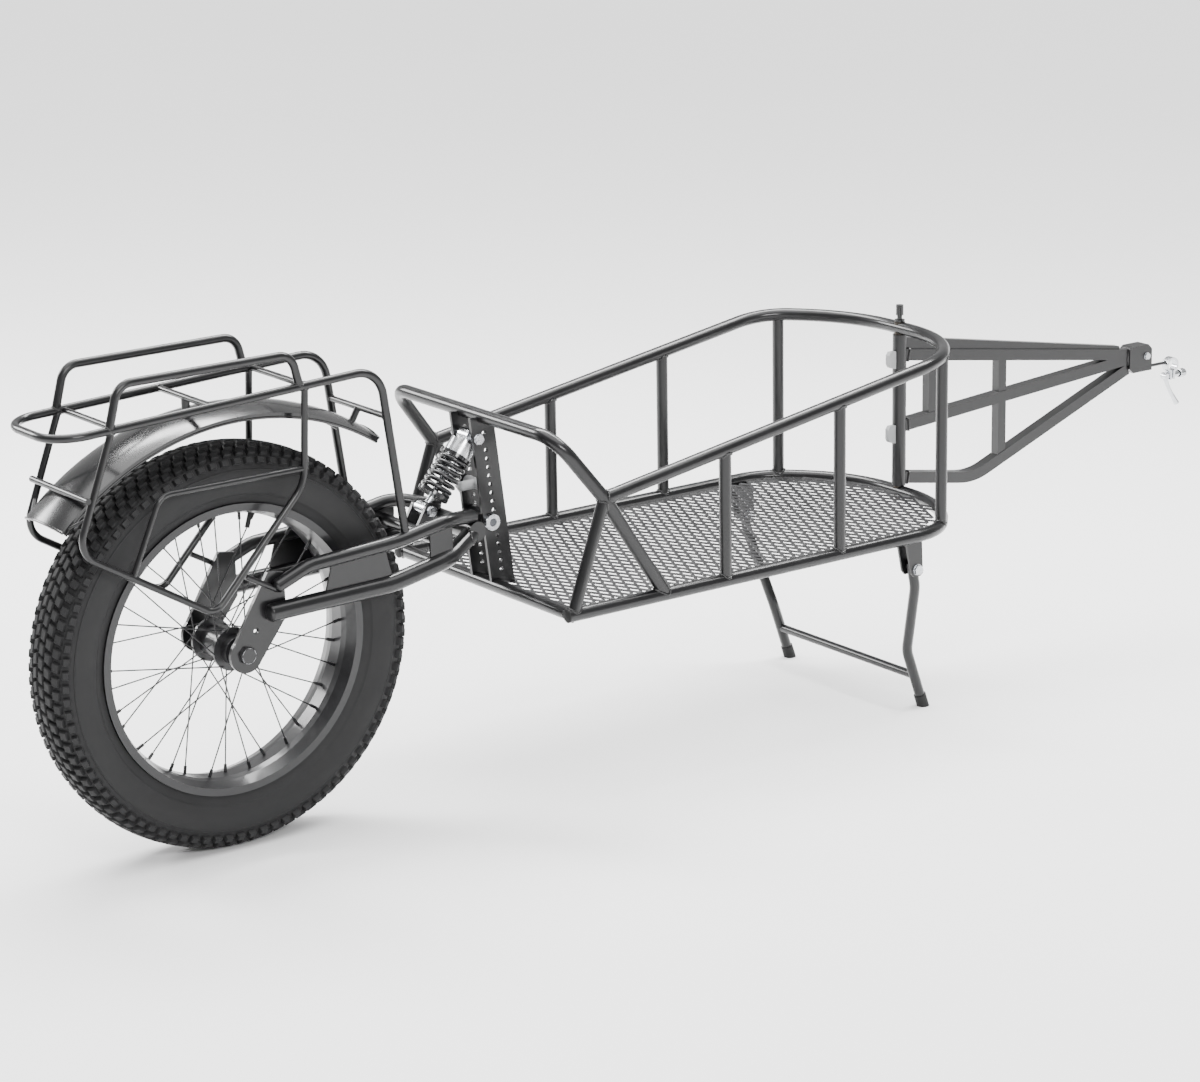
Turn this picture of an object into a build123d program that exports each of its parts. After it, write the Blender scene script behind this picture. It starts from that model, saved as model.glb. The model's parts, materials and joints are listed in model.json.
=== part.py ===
"""Single-wheel cargo trailer for a bicycle: fat tyre, coil-sprung swingarm, steel tube basket.

Millimetres. X points forward to the hitch, Y to the left, Z up. The origin is on the ground,
straight below the wheel axle. Each physical piece is its own solid in parts/NODE.step.
"""

from build123d import *
import math
import os

# ---------------------------------------------------------------- driving dimensions
# wheel
tyre_radius = 290.0
tyre_width = 98.0
tyre_wall = 6.0
bead_radius = 203.0
rim_width = 80.0
rim_wall = 4.0
rim_flange_height = 6.0
rim_depth = 13.0
spoke_count = 36
spoke_diameter = 2.0
spoke_lacing_angle = 52.0
nipple_diameter = 4.5
nipple_length = 12.0
hub_barrel_radius = 21.0
hub_flange_radius = 31.0
hub_flange_thickness = 5.0
hub_flange_spacing = 57.0
hub_length = 92.0
hub_bearing_radius = 14.0
hub_bearing_width = 8.0
axle_diameter = 12.0
valve_diameter = 7.0
valve_length = 36.0
valve_angle = 17.0

# swingarm
dropout_gap = 124.0
dropout_thickness = 6.0
dropout_radius = 26.0
swingarm_spread = 150.0
lower_arm_diameter = 26.0
upper_arm_diameter = 20.0
arm_wall = 2.0
arm_plug_length = 3.0
pivot_x = 442.0
pivot_z = 394.0
pivot_bolt_diameter = 12.0
pivot_barrel_diameter = 30.0
pivot_bush_wall = 2.0
crown_x = 400.0
crown_z = 392.0
crown_diameter = 30.0
crown_length = 108.0
pivot_arm_width = 36.0
pivot_arm_height = 24.0
bridge_x = 322.0
bridge_z = 398.0
bridge_diameter = 18.0
bridge_plate_width = 38.0
bridge_plate_thickness = 3.0

# shock absorber
shock_top_x = 424.0
shock_top_z = 520.0
shock_foot_x = 345.0
shock_foot_z = 425.0
shock_pin_diameter = 8.0
shock_eye_radius = 11.0
shock_eye_width = 24.0
shock_body_diameter = 28.0
shock_head_diameter = 40.0
shock_head_start = 12.0
shock_head_length = 20.0
shock_body_length = 64.0
shock_shaft_diameter = 10.0
shock_bore_start = 20.0
shock_shaft_start = 36.0
spring_diameter = 48.0
spring_wire = 6.5
spring_start = 38.0
spring_length = 58.0
spring_turns = 4.5
spring_seat_thickness = 5.0

# rear rack on the swingarm
rack_half_width = 73.0
rack_tube = 12.0
rack_height = 652.0
rack_slope = 0.046
rack_rear_x = -282.0
rack_front_x = 228.0
rack_leg_foot_x = 264.0
rack_bar_diameter = 9.0
guard_height = 703.0
guard_rear_x = -200.0
guard_front_x = 98.0
hoop_tube = 10.0
inner_rail_tube = 8.0
inner_rail_z = 541.0
stay_share = 122.0

# fender
fender_x = 16.0
fender_z = 222.0
fender_radius = 411.0
fender_drop = 9.0
fender_half_width = 52.0
fender_skirt = 6.0
fender_thickness = 2.5
fender_rear_angle = 44.5
fender_front_angle = 33.5

# basket
rail_tube = 20.0
rail_wall = 1.8
basket_half_width = 216.0
bottom_rail_z = 296.0
rear_x = 449.0
front_x = 1244.0
nose_taper = 104.0
nose_half_width = 108.0
hoop_foot_x = 613.0
hoop_knee_x = 507.0
hoop_knee_z = 457.0
hoop_top_x = 432.0
hoop_top_z = 553.0
hoop_top_half_width = 204.0
top_rail_slope = 0.165
top_rail_front_z = 560.0
upright_tube = 18.0
upright_xs = (725.0, 941.0, 1159.0)
floor_thickness = 2.0

# perforated suspension plates
plate_top_x = 430.0
plate_foot_x = 462.0
plate_width = 40.0
plate_thickness = 5.0
plate_gap = 44.0
plate_hole_diameter = 6.5
plate_hole_pitch = 13.0
bump_stop_x = 432.0
bump_stop_z = 447.0
bump_stop_length = 27.0
bump_stop_diameter = 14.0

# kickstand
stand_pivot_x = 1095.0
stand_pivot_z = 243.0
stand_inset = 12.0
stand_tube = 16.0
stand_bolt_diameter = 8.0
stand_knee_x = 1101.0
stand_knee_z = 212.0
stand_ankle_x = 1121.0
stand_ankle_z = 96.0
stand_foot_x = 1155.0
stand_foot_y = 163.0
stand_bar_tube = 13.0
stand_bar_z = 53.0
ear_thickness = 4.0
ear_width = 26.0
foot_cap_height = 20.0
foot_cap_wall = 1.5

# drawbar
post_diameter = 22.0
hinge_pin_diameter = 12.0
hinge_bush_diameter = 17.0
drawbar_tube = 18.0
strut_tube = 16.0
drawbar_wall = 1.8
drawbar_top_z = 518.0
drawbar_middle_z = 403.0
drawbar_lower_z = 320.0
drawbar_bend_reach = 151.0
drawbar_bend_z = 294.0
nose_reach = 488.0
nose_length = 50.0
nose_width = 26.0
nose_low_z = 413.0
nose_high_z = 457.0
nose_top_tube_z = 445.0
nose_middle_tube_z = 437.0
nose_lower_tube_z = 421.0
nose_bolt_diameter = 6.0
tongue_thickness = 8.0
strut_reaches = (63.0, 211.0)
web_thickness = 12.0
web_height = 19.0
web_end_height = 5.0
web_reach = 470.0

# hitch clamp
hitch_rod_diameter = 5.0
hitch_rod_z = 416.0
clamp_reach = 56.0
clamp_z = 411.0
clamp_bore_radius = 9.5
clamp_ring_radius = 13.0
clamp_width = 12.0
clamp_slit = 3.0
clamp_ear_thickness = 4.0
skewer_diameter = 5.0
skewer_z = 393.0
cam_radius = 6.0
cam_width = 11.0
lever_reach = 28.0
lever_drop = 47.0
lever_width = 9.0
clamp_nut_diameter = 13.0
clamp_nut_length = 12.0

# fits between pieces
seat_gap = 0.3
running_gap = 0.05
open_pivot_gap = 1.0

# ---------------------------------------------------------------- derived sizes
axle_z = tyre_radius
dropout_inner_y = dropout_gap / 2
dropout_outer_y = dropout_inner_y + dropout_thickness
arm_y = swingarm_spread / 2
corner_x = front_x - nose_taper
stand_pivot_y = basket_half_width - stand_inset
clamp_x = front_x + nose_reach + nose_length + clamp_reach
plate_inner_y = plate_gap / 2
plate_outer_y = plate_inner_y + plate_thickness
top_rail_corner_z = hoop_knee_z + top_rail_slope * (corner_x - hoop_knee_x)
post_low_z = bottom_rail_z + rail_tube / 2 + seat_gap
post_high_z = top_rail_front_z - rail_tube / 2 - seat_gap
shock_length = math.hypot(shock_top_x - shock_foot_x, shock_top_z - shock_foot_z)
shock_direction = Vector(shock_foot_x - shock_top_x, 0, shock_foot_z - shock_top_z).normalized()

parts = {}


# ---------------------------------------------------------------- helpers
def rod(start, end, diameter):
    """Round bar from one point to another."""
    run = Vector(*end) - Vector(*start)
    place = Plane(origin=Vector(*start), z_dir=run)
    return extrude(place * Circle(diameter / 2), amount=run.length)


def bent_bar(points, bends, diameter, wall=None):
    """Round bar, or a tube when it has a wall, along straight runs joined by bends."""
    path = FilletPolyline(*points, radius=bends)
    start = Plane(origin=path @ 0, z_dir=path % 0)
    section = Circle(diameter / 2)
    if wall:
        section = section - Circle(diameter / 2 - wall)
    return sweep(start * section, path=path)


def square_bar(points, bends, side, wall=None):
    """Square bar or tube along a path in the XZ plane, with its sides square to that plane."""
    path = FilletPolyline(*points, radius=bends) if bends else Polyline(*points)
    start = Plane(origin=path @ 0, x_dir=(0, 1, 0), z_dir=path % 0)
    section = Rectangle(side, side)
    if wall:
        section = section - Rectangle(side - 2 * wall, side - 2 * wall)
    return sweep(start * section, path=path)


def side_plate(points, low_y, high_y):
    """Flat plate whose outline is given in X and Z, between two Y faces."""
    outline = Polyline(*[(x, low_y, z) for x, z in points], close=True)
    return extrude(make_face(outline), amount=high_y - low_y, dir=(0, 1, 0))


def cross_pin(x, z, low_y, high_y, diameter):
    """Round pin along Y."""
    return rod((x, low_y, z), (x, high_y, z), diameter)


def ring(x, z, low_y, high_y, outer_diameter, inner_diameter):
    """Round sleeve along Y."""
    return cross_pin(x, z, low_y, high_y, outer_diameter) - cross_pin(
        x, z, low_y, high_y, inner_diameter
    )


def trimmed(shape, *neighbours):
    """Cut a piece to the faces of its neighbours and keep the part that is left between them."""
    for neighbour in neighbours:
        shape = shape - neighbour
    return max(shape.solids(), key=lambda solid: solid.volume)


def both_sides(shape):
    """A right-hand piece (negative Y) and its mirror image."""
    return [shape, mirror(shape, about=Plane.XZ)]


def group(shapes):
    """Several separate solids in one node."""
    return Compound(children=[solid for shape in shapes for solid in shape.solids()])


def turned(points_arcs_face):
    """Ring turned about the wheel axis from a section drawn at the top of the wheel."""
    return revolve(points_arcs_face, axis=Axis((0, 0, axle_z), (0, 1, 0)), revolution_arc=360)


def wheel_point(radius, y):
    """Point of a wheel section: radius from the axle and distance from the mid plane."""
    return (0, y, axle_z + radius)


# ---------------------------------------------------------------- wheel
def casing_section(inset, base_radius):
    """Closed section of the tyre casing, inset from its outer face, with a flat base."""
    foot = rim_width / 2 - rim_wall - inset
    side = tyre_width / 2 - inset
    shoulder = tyre_width * 0.41 - inset
    shoulder_radius = tyre_radius - 14.0 - inset * 0.7
    side_radius = (bead_radius + tyre_radius) / 2
    crown = tyre_radius - inset
    edges = [
        Line(wheel_point(base_radius, -foot), wheel_point(bead_radius + 8, -foot)),
        ThreePointArc(
            wheel_point(bead_radius + 8, -foot),
            wheel_point(side_radius, -side),
            wheel_point(shoulder_radius, -shoulder),
        ),
        ThreePointArc(
            wheel_point(shoulder_radius, -shoulder),
            wheel_point(crown, 0),
            wheel_point(shoulder_radius, shoulder),
        ),
        ThreePointArc(
            wheel_point(shoulder_radius, shoulder),
            wheel_point(side_radius, side),
            wheel_point(bead_radius + 8, foot),
        ),
        Line(wheel_point(bead_radius + 8, foot), wheel_point(base_radius, foot)),
        Line(wheel_point(base_radius, foot), wheel_point(base_radius, -foot)),
    ]
    return make_face(Wire(edges))


def make_tyre():
    section = casing_section(0, bead_radius) - casing_section(tyre_wall, bead_radius - 1)
    return turned(section)


def make_rim():
    half = rim_width / 2
    flange = bead_radius + rim_flange_height
    well = bead_radius - 7
    inner = bead_radius - rim_depth
    outline = [
        (flange, -half),
        (flange, -half + rim_wall),
        (bead_radius, -half + rim_wall),
        (bead_radius, -half + 13),
        (well, -half + 26),
        (well, half - 26),
        (bead_radius, half - 13),
        (bead_radius, half - rim_wall),
        (flange, half - rim_wall),
        (flange, half),
        (bead_radius - 5, half),
        (inner + 2, half - 18),
        (inner, half - 28),
        (inner, -half + 28),
        (inner + 2, -half + 18),
        (bead_radius - 5, -half),
    ]
    return turned(make_face(Polyline(*[wheel_point(r, y) for r, y in outline], close=True)))


def make_inner_tube():
    gap = tyre_wall + seat_gap
    outer = casing_section(gap, bead_radius + seat_gap)
    inner = casing_section(gap + 1.6, bead_radius + seat_gap + 1.6)
    return turned(outer - inner)


def make_valve(diameter):
    """Valve stem through the rim, between two spokes."""
    top = axle_z + bead_radius
    stem = rod((0, 0, top), (0, 0, top - valve_length), diameter)
    return stem.rotate(Axis((0, 0, axle_z), (0, 1, 0)), valve_angle)


def make_hub():
    half = hub_length / 2
    flange_y = hub_flange_spacing / 2
    pieces = cross_pin(0, axle_z, -half, half, 2 * hub_barrel_radius)
    for side in (-1, 1):
        low = side * flange_y - hub_flange_thickness / 2
        high = side * flange_y + hub_flange_thickness / 2
        pieces = pieces + cross_pin(0, axle_z, low, high, 2 * hub_flange_radius)
    pieces = pieces - cross_pin(0, axle_z, -half, half, axle_diameter + 4)
    for side in (-1, 1):
        low, high = sorted((side * half, side * (half - hub_bearing_width)))
        pieces = pieces - cross_pin(0, axle_z, low, high, 2 * hub_bearing_radius)
    return pieces


def make_hub_bearings():
    half = hub_length / 2
    bore = axle_diameter + 2 * running_gap
    right = ring(0, axle_z, -half, -half + hub_bearing_width, 2 * hub_bearing_radius, bore)
    return group(both_sides(right))


def spoke_ends(index):
    """Hub end and rim end of one spoke; leading and trailing spokes lie on opposite flange faces."""
    side = 1 if index % 2 == 0 else -1
    lead = 1 if (index // 2) % 2 == 0 else -1
    rim_angle = math.radians(360 / spoke_count * index)
    hub_angle = rim_angle + lead * math.radians(spoke_lacing_angle)
    hub_r = hub_flange_radius - 3
    off_flange = hub_flange_thickness / 2 + spoke_diameter / 2 + running_gap
    hub_y = side * hub_flange_spacing / 2 + lead * off_flange
    rim_r = bead_radius - rim_depth + 1
    rim_y = side * 6.0
    hub_end = (hub_r * math.sin(hub_angle), hub_y, axle_z + hub_r * math.cos(hub_angle))
    rim_end = (rim_r * math.sin(rim_angle), rim_y, axle_z + rim_r * math.cos(rim_angle))
    return Vector(*hub_end), Vector(*rim_end)


def make_spokes_and_nipples(rim, hub):
    spokes, nipples = [], []
    for index in range(spoke_count):
        hub_end, rim_end = spoke_ends(index)
        inward = (hub_end - rim_end).normalized()
        joint = rim_end + inward * nipple_length
        spokes.append(trimmed(rod(tuple(hub_end), tuple(joint), spoke_diameter), hub))
        nipples.append(trimmed(rod(tuple(rim_end), tuple(joint), nipple_diameter), rim))
    return group(spokes), group(nipples)


# ---------------------------------------------------------------- swingarm
def make_dropout():
    """Right-hand dropout: a rounded plate from the axle up to the two arm tubes."""
    low, high = -dropout_outer_y, -dropout_inner_y
    plate = cross_pin(0, axle_z, low, high, 2 * dropout_radius)
    neck = side_plate(
        [(-25, axle_z + 6), (20, axle_z - 16), (66, axle_z + 44), (64, axle_z + 108),
         (38, axle_z + 112), (12, axle_z + 70)],
        low,
        high,
    )
    plate = plate + neck
    plate = plate - cross_pin(0, axle_z, low, high, axle_diameter)
    return plate - cross_pin(16, axle_z + 32, low, high, 8)


def arm_path(kind):
    """Centre line of a right-hand arm tube, from the dropout to the crown tube."""
    crown_y = -(crown_length / 2 - 14)
    if kind == "lower":
        return [(36, -arm_y, 346), (235, -arm_y, 350), (334, -arm_y, 369), (crown_x, crown_y, 388)]
    return [
        (48, -arm_y, 382),
        (100, -arm_y, 402),
        (250, -arm_y, 410),
        (338, -arm_y, 426),
        (crown_x, crown_y, crown_z + 20),
    ]


def arm_plug(kind, diameter):
    """Plug that closes the rear end of a right-hand arm tube."""
    start, after = (Vector(*point) for point in arm_path(kind)[:2])
    return rod(tuple(start), tuple(start + (after - start).normalized() * arm_plug_length), diameter)


def shock_point(distance):
    """Point on the shock absorber's axis, measured from its upper pin."""
    return Vector(shock_top_x, 0, shock_top_z) + shock_direction * distance


def shock_bar(start, end, diameter):
    return rod(tuple(shock_point(start)), tuple(shock_point(end)), diameter)


def make_shock_lug():
    """One of the two plates that hold the shock absorber's lower pin."""
    low = -(shock_eye_width / 2 + 1.5 + 5)
    high = low + 5
    plate = side_plate(
        [(bridge_x - 9, bridge_z - 4), (bridge_x + 9, bridge_z - 8),
         (shock_foot_x + 11, shock_foot_z - 4), (shock_foot_x + 4, shock_foot_z + 10),
         (shock_foot_x - 9, shock_foot_z + 8)],
        low,
        high,
    )
    plate = plate + cross_pin(shock_foot_x, shock_foot_z, low, high, 24)
    return plate - cross_pin(shock_foot_x, shock_foot_z, low, high, shock_pin_diameter)


# ---------------------------------------------------------------- rack
def rack_z(x):
    return rack_height + rack_slope * x


def rack_loop_points():
    foot_z = 414.0
    right = [
        (rack_leg_foot_x, -rack_half_width, foot_z),
        (rack_front_x, -rack_half_width, rack_z(rack_front_x)),
        (rack_rear_x, -rack_half_width, rack_z(rack_rear_x)),
    ]
    return right + [(x, -y, z) for x, y, z in reversed(right)]


def leg_x(z):
    """X of the rack's front leg at a height."""
    share = (z - 414.0) / (rack_z(rack_front_x) - 414.0)
    return rack_leg_foot_x + share * (rack_front_x - rack_leg_foot_x)


def guard_points():
    y = -rack_half_width
    return [
        (guard_rear_x, y, rack_z(guard_rear_x)),
        (guard_rear_x + 16, y, guard_height),
        (guard_front_x - 12, y, guard_height + 1),
        (guard_front_x, y, rack_z(guard_front_x)),
    ]


def hoop_points():
    y = -rack_half_width
    return [
        (-196, y, rack_z(-196)),
        (-256, y, 482),
        (-50, y, 360),
        (100, y, 520),
        (106, y, rack_z(106)),
    ]


def inner_rail_points():
    y = -rack_half_width
    return [(101, y, inner_rail_z), (-128, y, inner_rail_z), (-178, y, 428)]


# ---------------------------------------------------------------- fender
def fender_section(inset):
    """Fender section at the top of its own circle, inset from its outer face."""
    crown = fender_z + fender_radius - inset
    edge = crown - fender_drop
    half = fender_half_width - inset
    low = fender_z + fender_radius - fender_drop - fender_skirt
    corners = [(fender_x, -half, low), (fender_x, -half, edge), (fender_x, half, edge),
               (fender_x, half, low)]
    edges = [
        Line(corners[0], corners[1]),
        ThreePointArc(corners[1], (fender_x, 0, crown), corners[2]),
        Line(corners[2], corners[3]),
        Line(corners[3], corners[0]),
    ]
    return make_face(Wire(edges))


def make_fender():
    """Arc of the fender; its circle's centre lies ahead of and below the wheel's axle."""
    axis = Axis((fender_x, 0, fender_z), (0, 1, 0))
    section = (fender_section(0) - fender_section(fender_thickness)).rotate(
        axis, -fender_rear_angle
    )
    return revolve(section, axis=axis, revolution_arc=fender_rear_angle + fender_front_angle)


# ---------------------------------------------------------------- basket
def rail_plan(x_start, z_start, z_corner, z_front):
    """U-shaped rail: two straight sides and a softly curved front."""
    right = [
        (x_start, -basket_half_width, z_start),
        (corner_x, -basket_half_width, z_corner),
        (front_x, -nose_half_width, z_front),
    ]
    return right + [(x, -y, z) for x, y, z in reversed(right)]


rail_bends = [110.0, 215.0, 215.0, 110.0]


def top_rail_z(x):
    return hoop_knee_z + top_rail_slope * (x - hoop_knee_x)


def upright_y(x):
    """Half width of the rails at an upright."""
    if x <= corner_x - 45:
        return basket_half_width
    share = (x - corner_x) / (front_x - corner_x)
    return basket_half_width - share * (basket_half_width - nose_half_width)


def plate_x(z):
    """Centre line of a suspension plate at a height."""
    share = (hoop_top_z - z) / (hoop_top_z - bottom_rail_z)
    return plate_top_x + share * (plate_foot_x - plate_top_x)


def make_suspension_plate(hoop, cross_tube):
    low, high = -plate_outer_y, -plate_inner_y
    half = plate_width / 2
    plate = side_plate(
        [(plate_foot_x - half, bottom_rail_z), (plate_foot_x + half, bottom_rail_z),
         (plate_top_x + half, hoop_top_z), (plate_top_x - half, hoop_top_z)],
        low,
        high,
    )
    plate = plate - cross_pin(pivot_x, pivot_z, low, high, pivot_bolt_diameter)
    plate = plate - cross_pin(shock_top_x, shock_top_z, low, high, shock_pin_diameter)
    z = bottom_rail_z + 24
    while z < hoop_top_z - 20:
        near_pivot = abs(z - pivot_z) < 17
        near_shock = abs(z - shock_top_z) < 7
        if not near_pivot and not near_shock:
            plate = plate - cross_pin(plate_x(z), z, low, high, plate_hole_diameter)
        z += plate_hole_pitch
    return trimmed(plate, hoop, cross_tube)


# ---------------------------------------------------------------- build: basket
bottom_points = rail_plan(rear_x - rail_tube / 2, bottom_rail_z, bottom_rail_z, bottom_rail_z)
top_points = rail_plan(hoop_knee_x, hoop_knee_z, top_rail_corner_z, top_rail_front_z)
knee = (hoop_knee_x, -basket_half_width, hoop_knee_z)
hoop_right = [
    (hoop_foot_x, -basket_half_width, bottom_rail_z),
    knee,
    (hoop_top_x, -hoop_top_half_width, hoop_top_z),
]
hoop_points_all = hoop_right + [(x, -y, z) for x, y, z in reversed(hoop_right)]
hoop_bends = [150.0, 42.0, 42.0, 150.0]

bottom_full = bent_bar(bottom_points, rail_bends, rail_tube)
top_full = bent_bar(top_points, rail_bends, rail_tube)
hoop_full = bent_bar(hoop_points_all, hoop_bends, rail_tube)
cross_full = rod((rear_x, -basket_half_width, bottom_rail_z),
                 (rear_x, basket_half_width, bottom_rail_z), rail_tube)

bush_hole_low = rod((front_x, 0, bottom_rail_z - rail_tube), (front_x, 0, bottom_rail_z + rail_tube),
                    hinge_bush_diameter)
bush_hole_high = rod((front_x, 0, top_rail_front_z - rail_tube),
                     (front_x, 0, top_rail_front_z + rail_tube), hinge_bush_diameter)
parts["bottom_rail"] = bent_bar(bottom_points, rail_bends, rail_tube, rail_wall) - bush_hole_low
parts["rear_hoop"] = trimmed(bent_bar(hoop_points_all, hoop_bends, rail_tube, rail_wall), bottom_full)
parts["top_rail"] = trimmed(
    bent_bar(top_points, rail_bends, rail_tube, rail_wall), hoop_full, bush_hole_high
)
parts["rear_cross_tube"] = trimmed(
    cross_full - rod((rear_x, -basket_half_width, bottom_rail_z),
                     (rear_x, basket_half_width, bottom_rail_z), rail_tube - 2 * rail_wall),
    bottom_full,
)

uprights = []
for x in upright_xs:
    foot = (x, -upright_y(x), bottom_rail_z)
    head = (x, -upright_y(x), top_rail_z(x))
    bar = rod(foot, head, upright_tube) - rod(foot, head, upright_tube - 2 * rail_wall)
    uprights += both_sides(trimmed(bar, bottom_full, top_full))

brace_foot = (rear_x, -basket_half_width, bottom_rail_z)
brace = rod(brace_foot, knee, upright_tube) - rod(brace_foot, knee, upright_tube - 2 * rail_wall)
uprights += both_sides(trimmed(brace, bottom_full, hoop_full, top_full, parts["rear_cross_tube"]))
parts["basket_uprights"] = group(uprights)

hinge_bushes = []
for z in (bottom_rail_z, top_rail_front_z):
    low, high = (front_x, 0, z - rail_tube / 2), (front_x, 0, z + rail_tube / 2)
    hinge_bushes.append(
        rod(low, high, hinge_bush_diameter) - rod(low, high, hinge_pin_diameter + 2 * running_gap)
    )
parts["hinge_bushes"] = group(hinge_bushes)

plate_right = make_suspension_plate(hoop_full, cross_full)
parts["suspension_plates"] = group(both_sides(plate_right))

floor_plan = FilletPolyline(
    *[(x, y, bottom_rail_z) for x, y, z in rail_plan(rear_x, 0, 0, 0)], radius=rail_bends
)
floor_edge = Line(floor_plan @ 1, floor_plan @ 0)
floor_sheet = extrude(make_face([*floor_plan.edges(), floor_edge]), amount=floor_thickness, dir=(0, 0, 1))
parts["floor_mesh"] = trimmed(
    floor_sheet, bottom_full, cross_full, hoop_full, *both_sides(plate_right)
)

pivot_head = cross_pin(pivot_x, pivot_z, -plate_outer_y - 6, -plate_outer_y, 24)
pivot_socket = cross_pin(pivot_x, pivot_z, -plate_outer_y - 6, -plate_outer_y - 2, 12)
pivot_shank = cross_pin(pivot_x, pivot_z, -plate_outer_y, plate_outer_y + 9, pivot_bolt_diameter)
pivot_nut = ring(pivot_x, pivot_z, plate_outer_y, plate_outer_y + 8, 19, pivot_bolt_diameter)
parts["pivot_bolt"] = group([pivot_head - pivot_socket + pivot_shank, pivot_nut])

shock_top_bolt = cross_pin(shock_top_x, shock_top_z, -plate_outer_y, plate_outer_y + 7,
                           shock_pin_diameter)
shock_top_head = cross_pin(shock_top_x, shock_top_z, -plate_outer_y - 4, -plate_outer_y, 13)
shock_top_nut = ring(shock_top_x, shock_top_z, plate_outer_y, plate_outer_y + 6, 13,
                     shock_pin_diameter)
spacer_inner = shock_eye_width / 2 + seat_gap
shock_spacer = ring(shock_top_x, shock_top_z, -plate_inner_y, -spacer_inner, 14, shock_pin_diameter)
parts["shock_top_bolt"] = group(
    [shock_top_bolt + shock_top_head, shock_top_nut, *both_sides(shock_spacer)]
)

stop_bar = rod((bump_stop_x - bump_stop_length, 0, bump_stop_z), (bump_stop_x, 0, bump_stop_z),
               bump_stop_diameter)
stop_end = max(stop_bar.edges(), key=lambda edge: -edge.center().X)
stop_bar = fillet(stop_end, bump_stop_diameter * 0.35)
stop_spacer = cross_pin(bump_stop_x + 4, bump_stop_z, -plate_inner_y, plate_inner_y, 16)
parts["bump_stop"] = stop_bar + stop_spacer

# ---------------------------------------------------------------- build: wheel
parts["tyre"] = make_tyre()
parts["rim"] = make_rim() - make_valve(valve_diameter + 2 * running_gap)
parts["inner_tube"] = make_inner_tube()
parts["valve_stem"] = make_valve(valve_diameter)
parts["hub_shell"] = make_hub()
parts["hub_bearings"] = make_hub_bearings()
parts["spokes"], parts["spoke_nipples"] = make_spokes_and_nipples(parts["rim"], parts["hub_shell"])

# ---------------------------------------------------------------- build: swingarm
dropout_right = make_dropout()
parts["dropouts"] = group(both_sides(dropout_right))
crown_full = cross_pin(crown_x, crown_z, -crown_length / 2, crown_length / 2, crown_diameter)
barrel_half = plate_inner_y - seat_gap
barrel_full = cross_pin(pivot_x, pivot_z, -barrel_half, barrel_half, pivot_barrel_diameter)
bush_diameter = pivot_bolt_diameter + 2 * running_gap + 2 * pivot_bush_wall
parts["pivot_barrel"] = barrel_full - cross_pin(
    pivot_x, pivot_z, -barrel_half, barrel_half, bush_diameter
)
bush = ring(pivot_x, pivot_z, -barrel_half, -2, bush_diameter, pivot_bolt_diameter + 2 * running_gap)
parts["pivot_bushes"] = group(both_sides(bush))

lower_bends = [200.0, 70.0]
upper_bends = [60.0, 200.0, 70.0]
lower_full = bent_bar(arm_path("lower"), lower_bends, lower_arm_diameter)
lower_arm = trimmed(
    bent_bar(arm_path("lower"), lower_bends, lower_arm_diameter, arm_wall), crown_full, dropout_right
)
upper_full = bent_bar(arm_path("upper"), upper_bends, upper_arm_diameter)
upper_arm = trimmed(
    bent_bar(arm_path("upper"), upper_bends, upper_arm_diameter, arm_wall),
    crown_full,
    lower_full,
    dropout_right,
)
lower_plug = arm_plug("lower", lower_arm_diameter - 2 * arm_wall)
upper_plug = arm_plug("upper", upper_arm_diameter - 2 * arm_wall)
parts["swingarm_lower_tubes"] = group(
    both_sides(lower_arm) + both_sides(trimmed(lower_plug, dropout_right))
)
parts["swingarm_upper_tubes"] = group(
    both_sides(upper_arm) + both_sides(trimmed(upper_plug, dropout_right, lower_full))
)

gusset = side_plate([(123, 346), (240, 350), (225, 410), (140, 404)], -arm_y - 1.5, -arm_y + 1.5)
gusset = trimmed(gusset, lower_full, upper_full)
hoop_bar = bent_bar(hoop_points(), [34.0, 22.0, 60.0], hoop_tube)
tab = rod((0, -rack_half_width, 404), (50, -rack_half_width, 376), 8)
tab = trimmed(tab, hoop_bar, upper_full, dropout_right, lower_full)
half_plate = bridge_plate_width / 2
bridge_plate = side_plate(
    [(bridge_x - half_plate, 363), (bridge_x + half_plate, 371), (bridge_x + half_plate, 427),
     (bridge_x - half_plate, 419)],
    -arm_y - bridge_plate_thickness / 2,
    -arm_y + bridge_plate_thickness / 2,
)
bridge_plate = trimmed(bridge_plate, lower_full, upper_full)
parts["swingarm_gussets"] = group(both_sides(gusset) + both_sides(tab) + both_sides(bridge_plate))

pivot_arm = Pos((crown_x + pivot_x) / 2, 0, (crown_z + pivot_z) / 2) * Box(
    pivot_x - crown_x, pivot_arm_width, pivot_arm_height
)
pivot_arm = trimmed(pivot_arm, crown_full, barrel_full)
bridge_full = cross_pin(bridge_x, bridge_z, -arm_y, arm_y, bridge_diameter)
bridge = trimmed(bridge_full, *both_sides(bridge_plate))
lug = trimmed(make_shock_lug(), bridge_full)
parts["swingarm_cross_tubes"] = group([crown_full, pivot_arm, bridge, *both_sides(lug)])
lug_outer = shock_eye_width / 2 + 1.5 + 5
foot_pin = cross_pin(shock_foot_x, shock_foot_z, -lug_outer, lug_outer + 6, shock_pin_diameter)
foot_head = cross_pin(shock_foot_x, shock_foot_z, -lug_outer - 4, -lug_outer, 13)
foot_nut = ring(shock_foot_x, shock_foot_z, lug_outer, lug_outer + 5, 13, shock_pin_diameter)
parts["shock_foot_pin"] = group([foot_pin + foot_head, foot_nut])

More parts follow.
